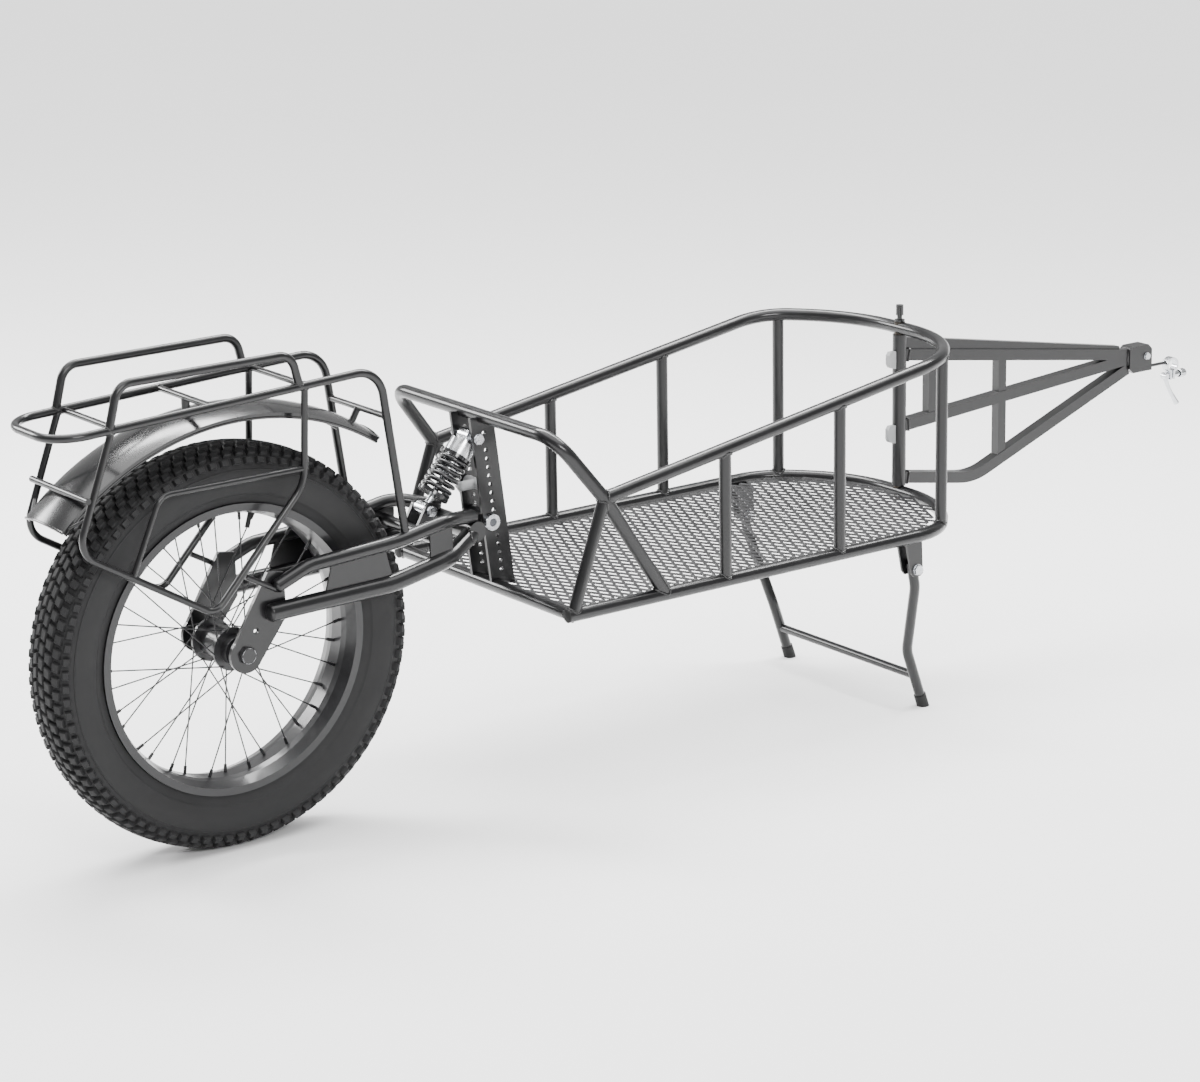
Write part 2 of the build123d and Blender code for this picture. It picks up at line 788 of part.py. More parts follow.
axle_bar = cross_pin(0, axle_z, -dropout_outer_y - 5, dropout_outer_y + 5, axle_diameter)
spacer = ring(0, axle_z, -dropout_inner_y, -hub_length / 2 - seat_gap, 20, axle_diameter)
axle_nut = ring(0, axle_z, -dropout_outer_y - 6, -dropout_outer_y, 22, axle_diameter)
parts["axle"] = group([axle_bar, *both_sides(spacer), *both_sides(axle_nut)])

# ---------------------------------------------------------------- build: shock absorber
eye = cross_pin(shock_top_x, shock_top_z, -shock_eye_width / 2, shock_eye_width / 2,
                2 * shock_eye_radius)
shock_body = eye + shock_bar(shock_eye_radius - 3, shock_body_length, shock_body_diameter)
head_end = shock_head_start + shock_head_length
shock_body = shock_body + shock_bar(shock_head_start, head_end, shock_head_diameter)
shock_body = shock_body - cross_pin(shock_top_x, shock_top_z, -40, 40,
                                    shock_pin_diameter + 2 * running_gap)
shaft_bore = shock_shaft_diameter + 2 * running_gap
shock_body = shock_body - shock_bar(shock_bore_start, shock_body_length, shaft_bore)
eye_relief = cross_pin(shock_top_x, shock_top_z, -40, -shock_eye_width / 2,
                       2 * shock_eye_radius)
parts["shock_body"] = trimmed(shock_body, *both_sides(eye_relief))
collar_start = spring_start - spring_seat_thickness
parts["shock_collar"] = shock_bar(collar_start, spring_start, spring_diameter) - shock_bar(
    collar_start, spring_start, shock_body_diameter
)
spring_end = spring_start + spring_length
seat_end = spring_end + spring_seat_thickness
shaft_end = shock_length - shock_eye_radius + 2
foot_eye = cross_pin(shock_foot_x, shock_foot_z, -shock_eye_width / 2, shock_eye_width / 2,
                     2 * shock_eye_radius)
shock_shaft = foot_eye + shock_bar(shock_shaft_start, shaft_end, shock_shaft_diameter)
parts["shock_shaft"] = shock_shaft - cross_pin(
    shock_foot_x, shock_foot_z, -40, 40, shock_pin_diameter + 2 * open_pivot_gap
)
parts["shock_lower_seat"] = shock_bar(spring_end, seat_end, spring_diameter) - shock_bar(
    spring_end, seat_end, shock_shaft_diameter
)
coil_radius = (spring_diameter - spring_wire) / 2 - 0.5
coil_height = spring_length - spring_wire - 2 * seat_gap
coil_path = Helix(pitch=coil_height / spring_turns, height=coil_height, radius=coil_radius)
coil_start = Plane(origin=coil_path @ 0, z_dir=coil_path % 0)
coil = sweep(coil_start * Circle(spring_wire / 2), path=coil_path, is_frenet=True)
coil_place = Plane(
    origin=shock_point(spring_start + spring_wire / 2 + seat_gap), x_dir=(0, 1, 0),
    z_dir=shock_direction,
)
parts["shock_spring"] = coil_place * coil

# ---------------------------------------------------------------- build: rack and fender
loop_bends = [42.0, 50.0, 50.0, 42.0]
rack_full = bent_bar(rack_loop_points(), loop_bends, rack_tube)
parts["rack_loop"] = trimmed(rack_full, upper_full, mirror(upper_full, about=Plane.XZ))

guard = trimmed(bent_bar(guard_points(), [26.0, 26.0], rack_tube), rack_full)
parts["guard_rails"] = group(both_sides(guard))
hoop_right_bar = trimmed(hoop_bar, rack_full)
inner_rail = trimmed(bent_bar(inner_rail_points(), [25.0], inner_rail_tube), hoop_bar)
parts["pannier_hoops"] = group(both_sides(hoop_right_bar) + both_sides(inner_rail))

rack_bars = []
for x in (-190.0, -40.0, 108.0):
    rack_bars.append(cross_pin(x, rack_z(x), -rack_half_width, rack_half_width, rack_bar_diameter))
front_bar_z = 592.0
front_bar = cross_pin(leg_x(front_bar_z), front_bar_z, -rack_half_width, rack_half_width,
                      rack_bar_diameter)
rack_bars.append(front_bar)
link_bar_z = 550.0
hoop_a, hoop_b = hoop_points()[0], hoop_points()[1]
hoop_run = Vector(hoop_b[0] - hoop_a[0], 0, hoop_b[2] - hoop_a[2]).normalized()
link_off = (hoop_tube + rack_bar_diameter) / 2 - 0.5
link_share = (link_bar_z - hoop_a[2]) / hoop_run.Z
link_x = hoop_a[0] + hoop_run.X * link_share + hoop_run.Z * link_off
link_z = link_bar_z - hoop_run.X * link_off
link_half = rack_half_width + hoop_tube / 2
rack_bars.append(cross_pin(link_x, link_z, -link_half, link_half, rack_bar_diameter))
neighbours = (rack_full, hoop_bar, mirror(hoop_bar, about=Plane.XZ))
parts["rack_bars"] = group([trimmed(bar, *neighbours) for bar in rack_bars])

parts["fender"] = make_fender()
mid_bar = rack_bars[1]
mid_bar_x = -40.0
fender_spacer = trimmed(
    rod((mid_bar_x, 0, fender_z + fender_radius - 12), (mid_bar_x, 0, rack_z(mid_bar_x)), 12),
    mid_bar, parts["fender"]
)
front_bar_at = Vector(leg_x(front_bar_z), 0, front_bar_z)
inward = (Vector(fender_x, 0, fender_z) - front_bar_at).normalized()
front_post = trimmed(rod(tuple(front_bar_at), tuple(front_bar_at + inward * 24), 10),
                     front_bar, parts["fender"])
rear_turn = math.radians(fender_rear_angle - 1.5)
skirt_radius = fender_radius - fender_drop - fender_skirt / 2
stay_foot = (fender_x - skirt_radius * math.sin(rear_turn), -fender_half_width + 1,
             fender_z + skirt_radius * math.cos(rear_turn))
stay_head = (hoop_a[0] + hoop_run.X * stay_share, -rack_half_width, hoop_a[2] + hoop_run.Z * stay_share)
stay = trimmed(rod(stay_head, stay_foot, 4), hoop_bar, parts["fender"])
parts["fender_mounts"] = group([fender_spacer, front_post, *both_sides(stay)])

# ---------------------------------------------------------------- build: kickstand
bracket_low = stand_pivot_z - 11
web_low = bottom_rail_z - rail_tube / 2 - 4
half_ear = ear_width / 2
inner_gap = stand_tube / 2 + seat_gap
bracket = side_plate(
    [(stand_pivot_x - half_ear - 8, web_low), (stand_pivot_x + half_ear - 4, web_low),
     (stand_pivot_x + half_ear - 4, web_low + 8), (stand_pivot_x - half_ear - 8, web_low + 8)],
    -stand_pivot_y - inner_gap - ear_thickness,
    -stand_pivot_y + inner_gap + ear_thickness,
)
for side in (-1, 1):
    face = -stand_pivot_y + side * inner_gap
    low_y, high_y = sorted((face, face + side * ear_thickness))
    ear = side_plate(
        [(stand_pivot_x - half_ear - 8, web_low), (stand_pivot_x + half_ear - 4, web_low),
         (stand_pivot_x + 11, bracket_low + 4), (stand_pivot_x + 6, bracket_low),
         (stand_pivot_x - 7, bracket_low), (stand_pivot_x - 12, bracket_low + 6)],
        low_y,
        high_y,
    )
    bracket = bracket + ear
bracket = bracket - cross_pin(stand_pivot_x, stand_pivot_z, -260, -150, stand_bolt_diameter)
parts["kickstand_brackets"] = group(both_sides(trimmed(bracket, bottom_full)))
bolt_out = stand_pivot_y + inner_gap + ear_thickness
bolt_in = stand_pivot_y - inner_gap - ear_thickness
stand_bolt = cross_pin(stand_pivot_x, stand_pivot_z, -bolt_out, -bolt_in + 7, stand_bolt_diameter)
stand_head = cross_pin(stand_pivot_x, stand_pivot_z, -bolt_out - 5, -bolt_out, 14)
stand_nut = ring(stand_pivot_x, stand_pivot_z, -bolt_in, -bolt_in + 6, 14, stand_bolt_diameter)
parts["kickstand_bolts"] = group(both_sides(stand_bolt + stand_head) + both_sides(stand_nut))

leg_points = [
    (stand_pivot_x - 2, -stand_pivot_y, stand_pivot_z + 9),
    (stand_knee_x, -stand_pivot_y, stand_knee_z),
    (stand_ankle_x, -stand_foot_y, stand_ankle_z),
    (stand_foot_x, -stand_foot_y, 0),
]
leg_bends = [60.0, 60.0]
leg_full = bent_bar(leg_points, leg_bends, stand_tube)
cap_share = foot_cap_height / stand_ankle_z
cap_top = (stand_foot_x - cap_share * (stand_foot_x - stand_ankle_x), -stand_foot_y, foot_cap_height)
ground = Pos(stand_foot_x, 0, -50) * Box(400, 800, 100)
sole = Pos(stand_foot_x, 0, 1.5 - 50) * Box(400, 800, 100)
leg = leg_full - sole - cross_pin(
    stand_pivot_x, stand_pivot_z, -260, -150, stand_bolt_diameter + 2 * running_gap
)
leg = max(leg.solids(), key=lambda solid: solid.volume)
parts["kickstand_legs"] = group(both_sides(leg))
cap_foot = (stand_foot_x + cap_share * (stand_foot_x - stand_ankle_x), -stand_foot_y,
            -foot_cap_height)
cap = trimmed(rod(cap_foot, cap_top, stand_tube + 2 * foot_cap_wall), ground, leg)
parts["kickstand_feet"] = group(both_sides(cap))
bar_share = stand_bar_z / stand_ankle_z
bar_x = stand_foot_x - bar_share * (stand_foot_x - stand_ankle_x)
stand_bar = cross_pin(bar_x, stand_bar_z, -stand_foot_y, stand_foot_y, stand_bar_tube)
parts["kickstand_cross_tube"] = trimmed(stand_bar, leg_full, mirror(leg_full, about=Plane.XZ))

# ---------------------------------------------------------------- build: drawbar
post_foot, post_head = (front_x, 0, post_low_z), (front_x, 0, post_high_z)
post_full = rod(post_foot, post_head, post_diameter)
parts["drawbar_post"] = post_full - rod(post_foot, post_head, hinge_pin_diameter + 2 * running_gap)

nose_x = front_x + nose_reach
nose_front_x = nose_x + nose_length
nose = side_plate(
    [(nose_x, nose_low_z + 8), (nose_x + 8, nose_low_z), (nose_front_x, nose_low_z),
     (nose_front_x, nose_high_z - 8), (nose_front_x - 8, nose_high_z), (nose_x + 8, nose_high_z),
     (nose_x, nose_high_z - 6)],
    -nose_width / 2,
    nose_width / 2,
)
bolt_x, bolt_z = nose_front_x - 12, nose_low_z + 25
tongue_half = tongue_thickness / 2
slot_half = tongue_half + seat_gap
slot_rear_x, slot_top_z = bolt_x - 18, bolt_z + 10
slot = side_plate(
    [(slot_rear_x, nose_low_z), (nose_front_x, nose_low_z), (nose_front_x, slot_top_z),
     (slot_rear_x, slot_top_z)],
    -slot_half,
    slot_half,
)
nose = nose - slot - cross_pin(bolt_x, bolt_z, -20, 20, nose_bolt_diameter)
parts["nose_block"] = nose

top_points_bar = [(front_x, 0, drawbar_top_z), (nose_x, 0, nose_top_tube_z)]
middle_points_bar = [(front_x, 0, drawbar_middle_z), (nose_x, 0, nose_middle_tube_z)]
lower_points_bar = [
    (front_x, 0, drawbar_lower_z),
    (front_x + drawbar_bend_reach, 0, drawbar_bend_z),
    (nose_x, 0, nose_lower_tube_z),
]
top_bar_full = square_bar(top_points_bar, None, drawbar_tube)
lower_bar_full = square_bar(lower_points_bar, [110.0], drawbar_tube)
middle_bar_full = square_bar(middle_points_bar, None, drawbar_tube)
parts["drawbar_top_tube"] = trimmed(
    square_bar(top_points_bar, None, drawbar_tube, drawbar_wall), post_full, nose
)
parts["drawbar_lower_tube"] = trimmed(
    square_bar(lower_points_bar, [110.0], drawbar_tube, drawbar_wall), post_full, nose, top_bar_full
)
parts["drawbar_middle_tube"] = trimmed(
    square_bar(middle_points_bar, None, drawbar_tube, drawbar_wall),
    post_full, nose, top_bar_full, lower_bar_full,
)
top_bar_fall = (drawbar_top_z - nose_top_tube_z) / nose_reach
lower_bar_rise = (nose_lower_tube_z - drawbar_bend_z) / (nose_reach - drawbar_bend_reach)
near_reach, far_reach = strut_reaches
struts = []
for reach, foot_z in (
    (near_reach, drawbar_middle_z),
    (far_reach, drawbar_bend_z + lower_bar_rise * (far_reach - drawbar_bend_reach)),
):
    head_z = drawbar_top_z - top_bar_fall * reach
    strut = square_bar([(front_x + reach, 0, foot_z), (front_x + reach, 0, head_z)],
                       None, strut_tube, drawbar_wall)
    pieces = strut - top_bar_full - lower_bar_full - middle_bar_full
    struts += [piece for piece in pieces.solids() if piece.volume > 500]
parts["drawbar_struts"] = group(struts)
web_end_z = drawbar_top_z - top_bar_fall * web_reach
web = side_plate(
    [(front_x, drawbar_top_z), (front_x + web_reach, web_end_z),
     (front_x + web_reach, web_end_z + drawbar_tube / 2 + web_end_height),
     (front_x, drawbar_top_z + drawbar_tube / 2 + web_height)],
    -web_thickness / 2,
    web_thickness / 2,
)
parts["drawbar_web"] = trimmed(web, post_full, top_bar_full)

tabs = []
for low_z, high_z in ((367.0, 405.0), (487.0, 524.0)):
    tab_plate = side_plate(
        [(front_x, low_z + 6), (front_x - 22, low_z + 12), (front_x - 25, low_z + 18),
         (front_x - 25, high_z - 5), (front_x - 21, high_z), (front_x, high_z)],
        -4,
        4,
    )
    tabs.append(trimmed(tab_plate, post_full))
parts["post_tabs"] = group(tabs)

nose_bolt = cross_pin(bolt_x, bolt_z, -nose_width / 2, nose_width / 2 + 6, nose_bolt_diameter)
nose_bolt_head = cross_pin(bolt_x, bolt_z, -nose_width / 2 - 4, -nose_width / 2, 10)
nose_nut = ring(bolt_x, bolt_z, nose_width / 2, nose_width / 2 + 5, 10, nose_bolt_diameter)
parts["nose_bolt"] = group([nose_bolt + nose_bolt_head, nose_nut])

tongue_front_x = nose_front_x + 6
rod_start = nose_front_x - 4
tongue = cross_pin(bolt_x, bolt_z, -tongue_half, tongue_half, 16) + side_plate(
    [(bolt_x - 8, bolt_z), (bolt_x + 8, bolt_z), (tongue_front_x, hitch_rod_z + 5),
     (tongue_front_x, hitch_rod_z - 5), (bolt_x - 2, hitch_rod_z - 5)],
    -tongue_half,
    tongue_half,
)
tongue = tongue - cross_pin(bolt_x, bolt_z, -20, 20, nose_bolt_diameter + 2 * running_gap)
tongue = tongue - rod((rod_start, 0, hitch_rod_z), (tongue_front_x, 0, hitch_rod_z),
                      hitch_rod_diameter)
parts["hitch_tongue"] = tongue

ring_full = cross_pin(clamp_x, clamp_z, -clamp_width / 2, clamp_width / 2, 2 * clamp_ring_radius)
rod_end = clamp_x - clamp_ring_radius + 4
hitch_rod = rod((rod_start, 0, hitch_rod_z), (rod_end, 0, hitch_rod_z), hitch_rod_diameter)
parts["hitch_rod"] = trimmed(hitch_rod, ring_full)
ear_low_z = skewer_z - 6
ear_block = Pos(clamp_x, 0, (ear_low_z + clamp_z - 8) / 2) * Box(
    clamp_slit + 2 * clamp_ear_thickness, clamp_width, clamp_z - 8 - ear_low_z
)
clamp_ring = ring_full + ear_block - cross_pin(clamp_x, clamp_z, -20, 20, 2 * clamp_bore_radius)
clamp_ring = clamp_ring - Pos(clamp_x, 0, clamp_z - 20) * Box(clamp_slit, 40, 40)
ear_face = clamp_x + clamp_slit / 2 + clamp_ear_thickness
skewer_start = (clamp_x - clamp_slit / 2 - clamp_ear_thickness, 0, skewer_z)
nut_start = ear_face + 14
skewer_end = (nut_start + clamp_nut_length - 2, 0, skewer_z)
skewer = rod(skewer_start, skewer_end, skewer_diameter)
parts["clamp_ring"] = clamp_ring - skewer
barrel = rod((ear_face, 0, skewer_z), (nut_start, 0, skewer_z), 9) - skewer
nut = rod((nut_start, 0, skewer_z), (nut_start + clamp_nut_length, 0, skewer_z),
          clamp_nut_diameter) - skewer
parts["clamp_skewer"] = group([skewer, barrel, nut])

cam_x = skewer_start[0] - seat_gap - cam_radius
cam = cross_pin(cam_x, skewer_z, -cam_width / 2, cam_width / 2, 2 * cam_radius)
lever_line = Polyline((cam_x, 0, skewer_z), (cam_x, 0, skewer_z - 13),
                      (cam_x + lever_reach, 0, skewer_z - lever_drop))
lever_start = Plane(origin=lever_line @ 0, x_dir=(0, 1, 0), z_dir=lever_line % 0)
blade = sweep(lever_start * Rectangle(5, lever_width), path=lever_line, transition=Transition.RIGHT)
lever_tip = cross_pin(cam_x + lever_reach, skewer_z - lever_drop, -2.5, 2.5, lever_width)
parts["clamp_lever"] = cam + blade + lever_tip

pin_top_z = top_rail_front_z + rail_tube / 2 + seat_gap
pin_low_z = bottom_rail_z - rail_tube / 2 - 4
hinge_pin = rod((front_x, 0, pin_low_z), (front_x, 0, pin_top_z), hinge_pin_diameter)
hinge_pin = hinge_pin + rod((front_x, 0, pin_top_z), (front_x, 0, pin_top_z + 3), 16)
hinge_pin = hinge_pin + rod((front_x, 0, pin_top_z + 3), (front_x, 0, pin_top_z + 10), 8)
knob = rod((front_x, 0, pin_top_z + 10), (front_x, 0, pin_top_z + 26), 12)
parts["hinge_pin"] = group([hinge_pin, knob])

# ---------------------------------------------------------------- write one STEP per piece
os.makedirs("parts", exist_ok=True)
for name, shape in parts.items():
    export_step(shape, f"parts/{name}.step")
print(len(parts), "nodes")
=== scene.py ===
# %% [markdown]
# # A single-wheel cargo trailer
# The frame of this trailer is already drawn to size: rails, swingarm, wheel, drawbar and bolts.
# This lesson dresses it. It gives each part its finish, and it builds the pieces whose detail a
# plain solid can't show: the knobbly tyre, the expanded-metal floor, the coil spring, the weld
# beads, the rolled fender edge and the bolt heads. Everything is in metres and in one frame: X
# points forward to the hitch, Y to the left, Z up, and the tyre stands on the ground at the origin.

# %% Load the frame
import json
import math
import bpy
import numpy as np
from mathutils import Matrix, Vector


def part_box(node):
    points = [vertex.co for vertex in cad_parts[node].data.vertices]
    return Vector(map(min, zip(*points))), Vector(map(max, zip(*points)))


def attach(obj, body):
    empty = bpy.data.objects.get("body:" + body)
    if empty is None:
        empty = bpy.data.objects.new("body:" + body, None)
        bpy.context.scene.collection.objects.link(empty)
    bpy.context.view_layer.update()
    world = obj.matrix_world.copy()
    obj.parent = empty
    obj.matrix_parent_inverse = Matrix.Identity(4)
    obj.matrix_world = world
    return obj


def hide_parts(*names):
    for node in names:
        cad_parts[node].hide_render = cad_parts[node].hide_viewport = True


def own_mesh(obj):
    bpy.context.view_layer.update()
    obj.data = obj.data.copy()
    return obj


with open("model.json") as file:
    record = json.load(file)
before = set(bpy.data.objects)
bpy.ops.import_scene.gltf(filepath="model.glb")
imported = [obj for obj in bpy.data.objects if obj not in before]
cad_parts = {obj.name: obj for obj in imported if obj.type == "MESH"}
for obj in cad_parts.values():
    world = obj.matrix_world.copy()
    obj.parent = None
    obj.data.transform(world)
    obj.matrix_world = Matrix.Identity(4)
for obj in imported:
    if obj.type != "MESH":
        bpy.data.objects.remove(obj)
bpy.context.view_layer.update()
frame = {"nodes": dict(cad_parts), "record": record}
nodes = frame["nodes"]
pivots = {joint["name"]: Vector(joint["pos_m"])
          for joint in frame["record"]["behaviour"]["joints"] if "pos_m" in joint}

# %% [markdown]
# ## The camera
# A long lens from a few metres away keeps the rails nearly parallel, as a product shot does.
# The camera stands behind and to the right of the trailer, at about head height. Its three axes
# are worked out from a yaw, a pitch and a small roll, because these are the angles a tripod has.

# %% Place the camera
camera_spot = Vector((-2.568, -4.392, 1.863))
camera_yaw, camera_pitch, camera_roll = (math.radians(a) for a in (36.29, 15.81, -0.93))
lens_mm, sensor_mm = 114.0, 36.0

look = Vector((math.sin(camera_yaw) * math.cos(camera_pitch),
               math.cos(camera_yaw) * math.cos(camera_pitch),
               -math.sin(camera_pitch)))
level_right = Vector((math.cos(camera_yaw), -math.sin(camera_yaw), 0))
level_up = level_right.cross(look)
right = level_right * math.cos(camera_roll) + level_up * math.sin(camera_roll)
up = level_up * math.cos(camera_roll) - level_right * math.sin(camera_roll)

camera_data = bpy.data.cameras.new("trailer_camera")
camera_data.lens = lens_mm
camera_data.sensor_width = sensor_mm
camera_data.sensor_fit = "HORIZONTAL"
camera_data.clip_end = 100.0
camera = bpy.data.objects.new("trailer_camera", camera_data)
turn = Matrix((right, up, -look)).transposed().to_4x4()
camera.matrix_world = Matrix.Translation(camera_spot) @ turn
bpy.context.scene.collection.objects.link(camera)
bpy.context.scene.camera = camera
print("camera looks along", [round(c, 3) for c in look])

# %% [markdown]
# ## A finish made of nodes
# Paint, rubber and metal differ in three things here: how the colour drifts, how the gloss
# drifts, and how the surface ripples. One helper builds all three from noise, measured in the
# object's own space so that the grain has a real size. Constant numbers, such as the clear coat,
# are set straight on the shader. An image texture would need unwrapping and would blur up close.

# %% Define the finish helper
noise_low, noise_high = 0.3, 0.7
bump_strength = 0.6


def set_inputs(node, values):
    """Set a node's constant inputs by their names."""
    for name, value in values.items():
        node.inputs[name].default_value = value


def noise(tree, place, size, detail):
    """Noise whose features are about the given size in metres."""
    made = tree.nodes.new("ShaderNodeTexNoise")
    set_inputs(made, {"Scale": 1 / size, "Detail": detail})
    tree.links.new(place.outputs["Object"], made.inputs["Vector"])
    return made


# %% [markdown]
# The finish itself joins one broad noise to the colour and to the gloss, and one fine noise to
# the bump. The broad one drives both, because a worn spot is lighter and duller at once.

# %% Define the finish
def finish(name, colour, rough, metal=0.0, coat=0.0, coat_rough=0.1, drift=0.25,
           drift_size=0.05, rough_drift=0.08, grain_size=0.002, grain_depth=0.0001,
           shine=0.5):
    """Node material: colour drift, gloss drift and a bump of the given grain, sizes in metres."""
    made = bpy.data.materials.new(name)
    made.use_nodes = True
    tree = made.node_tree
    add, join = tree.nodes.new, tree.links.new
    shader = tree.nodes["Principled BSDF"]
    set_inputs(shader, {"Metallic": metal, "Specular IOR Level": shine, "Coat Weight": coat,
                        "Coat Roughness": coat_rough})
    place = add("ShaderNodeTexCoord")

    broad = noise(tree, place, drift_size, 5)
    ramp = add("ShaderNodeValToRGB")
    low, high = ramp.color_ramp.elements
    low.position, high.position = noise_low, noise_high
    low.color = [c * (1 - drift) for c in colour] + [1]
    high.color = [min(1, c * (1 + drift)) for c in colour] + [1]
    join(broad.outputs["Fac"], ramp.inputs["Fac"])
    join(ramp.outputs["Color"], shader.inputs["Base Color"])

    gloss = add("ShaderNodeMapRange")
    set_inputs(gloss, {"From Min": noise_low, "From Max": noise_high,
                       "To Min": max(0.02, rough - rough_drift),
                       "To Max": min(1, rough + rough_drift)})
    join(broad.outputs["Fac"], gloss.inputs["Value"])
    join(gloss.outputs["Result"], shader.inputs["Roughness"])

    grain = noise(tree, place, grain_size, 3)
    bump = add("ShaderNodeBump")
    set_inputs(bump, {"Strength": bump_strength, "Distance": grain_depth})
    join(grain.outputs["Fac"], bump.inputs["Height"])
    join(bump.outputs["Normal"], shader.inputs["Normal"])
    return made

# %% [markdown]
# ## The finishes
# The tubes are powder coated: a thick gloss black skin with a faint orange peel. The fender is
# smoother and shinier. The weld beads have the frame's paint with a deeper grain. Each finish is
# kept under the name of its slot, so that a part can be painted by looking its slot up.

# %% Mix the paints
finishes = {
    "frame_black": finish("powder_coat", (0.0055, 0.0055, 0.006), 0.34, coat=0.5,
                          coat_rough=0.16, drift=0.2, rough_drift=0.06, grain_size=0.0016,
                          grain_depth=0.00008, shine=0.2),
    "fender_gloss": finish("fender_lacquer", (0.005, 0.005, 0.0055), 0.24, coat=0.5,
                           coat_rough=0.16, drift=0.15, rough_drift=0.05, grain_size=0.02,
                           grain_depth=0.0001, shine=0.35),
    "floor_black": finish("floor_paint", (0.012, 0.012, 0.013), 0.4, coat=0.3, drift=0.3,
                          drift_size=0.01, grain_size=0.0012, shine=0.3),
    "spring_black": finish("spring_enamel", (0.006, 0.006, 0.007), 0.25, coat=0.7,
                           coat_rough=0.1, grain_size=0.001, shine=0.3),
    "pin_black": finish("pin_paint", (0.006, 0.006, 0.007), 0.3, coat=0.5, grain_size=0.001,
                        shine=0.3),
    "rod_black": finish("rod_oxide", (0.010, 0.010, 0.011), 0.34, coat=0.3, grain_size=0.0008,
                        shine=0.3),
}
weld_black = finish("coated_weld", (0.006, 0.006, 0.0065), 0.36, coat=0.5, coat_rough=0.2,
                    grain_size=0.0012, grain_depth=0.00025, shine=0.25)
print("mixed", len(finishes) + 1, "paints")

# %% [markdown]
# ## Rubber and plastic
# Rubber is rough and hardly shines, and its grain is deeper than a paint's. The small tabs on
# the drawbar are light grey plastic, the palest part that isn't metal.

# %% Mix the rubbers
finishes |= {
    "tyre_rubber": finish("tyre_compound", (0.0105, 0.0105, 0.011), 0.68, drift=0.3,
                          drift_size=0.03, rough_drift=0.1, grain_size=0.0011,
                          grain_depth=0.0002, shine=0.32),
    "black_rubber": finish("soft_rubber", (0.008, 0.008, 0.008), 0.6, grain_size=0.0008,
                           shine=0.3),
    "tab_grey": finish("light_grey_plastic", (0.30, 0.305, 0.31), 0.5, drift=0.1,
                       grain_size=0.0007, shine=0.4),
}

# %% [markdown]
# ## Metals
# The rim and the spokes are dark, so they are mixed like a paint with a thin hard grain. The
# bright metals have no coat, and their gloss drifts over millimetres, as plating does.

# %% Mix the metals
finishes |= {
    "rim_black": finish("rim_anodising", (0.010, 0.010, 0.011), 0.36, coat=0.3, drift=0.2,
                        grain_size=0.0009, grain_depth=0.00004, shine=0.35),
    "spoke_black": finish("spoke_oxide", (0.008, 0.008, 0.009), 0.36, grain_size=0.0007,
                          grain_depth=0.00003, shine=0.4),
    "zinc_steel": finish("zinc_plate", (0.50, 0.51, 0.53), 0.27, metal=1.0, drift=0.14,
                         drift_size=0.006, grain_size=0.0006, grain_depth=0.00004),
    "bearing_steel": finish("dark_steel", (0.11, 0.115, 0.125), 0.4, metal=0.8,
                            grain_size=0.0006),
    "bronze": finish("oiled_bronze", (0.045, 0.037, 0.028), 0.42, metal=0.6, grain_size=0.0006),
    "shock_silver": finish("polished_alloy", (0.66, 0.67, 0.69), 0.22, metal=1.0, drift=0.1,
                           drift_size=0.012, grain_size=0.0008, grain_depth=0.00003),
    "clamp_silver": finish("bright_nickel", (0.60, 0.61, 0.63), 0.2, metal=1.0, drift=0.08,
                           drift_size=0.01, grain_size=0.001, grain_depth=0.00002),
}
print("mixed", len(finishes) + 1, "finishes in all")

# %% [markdown]
# ## Paint the frame
# The record says which slot each part belongs to, so one loop paints them all. The meshes stay
# as they are. Only their material slots change.

# %% Paint every part by its slot
for part in frame["record"]["subparts"]:
    mesh = nodes[part["node"]].data
    mesh.materials.clear()
    mesh.materials.append(finishes[part["material_slot"]])

# %% [markdown]
# ## From points to a piece
# Every new piece starts as a list of points and faces, made by small functions below. This is
# the plainest way to make a mesh: nothing depends on what is selected or on the view, and the
# same numbers give the same mesh each time. A piece is then shaded smooth, with sharp edges kept
# by angle, and it rides on the body that carries it.

# %% Define the piece helper
def piece(name, points, faces, body, slot, paint=None, smooth_angle=35):
    """One named object from points and faces, painted, on a body, in its finish slot."""
    mesh = bpy.data.meshes.new(name)
    mesh.from_pydata([tuple(p) for p in points], [], [tuple(f) for f in faces])
    mesh.validate()
    mesh.update()
    made = bpy.data.objects.new(name, mesh)
    bpy.context.scene.collection.objects.link(made)
    mesh.materials.append(paint or finishes[slot])
    mesh.shade_smooth()
    mesh.set_sharp_from_angle(angle=math.radians(smooth_angle))
    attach(made, body)
    return made


# %% [markdown]
# ## A round bar along a line
# Wire, spring and weld bead are all a round section carried along a line. The section's own
# axes are carried from point to point with the least twist, so that a bar never pinches where
# the line turns. A ring closes on itself, and an open bar gets a cap at each end.

# %% Define rings and skins
corners = ((-1, -1), (1, -1), (1, 1), (-1, 1))


def ring(centre, u, v, radius, sides):
    """Points round a centre in the plane of u and v; radius is a number or one per point."""
    radii = radius if hasattr(radius, "__len__") else [radius] * sides
    points = []
    for k in range(sides):
        angle = 2 * math.pi * k / sides
        points.append(centre + (u * math.cos(angle) + v * math.sin(angle)) * radii[k])
    return points


def skin(rings, size, closed=False, flip=False):
    """Four-sided faces between neighbouring rings of points; flip turns their fronts round."""
    faces = []
    for i in range(rings if closed else rings - 1):
        a, b = i * size, (i + 1) % rings * size
        for k in range(size):
            j = (k + 1) % size
            quad = (a + k, a + j, b + j, b + k)
            faces.append((quad[0], quad[3], quad[2], quad[1]) if flip else quad)
    return faces


def square_to(way):
    """A way at length one, and two more at right angles to it and to each other."""
    way = Vector(way).normalized()
    u = way.orthogonal().normalized()
    return way, u, way.cross(u)


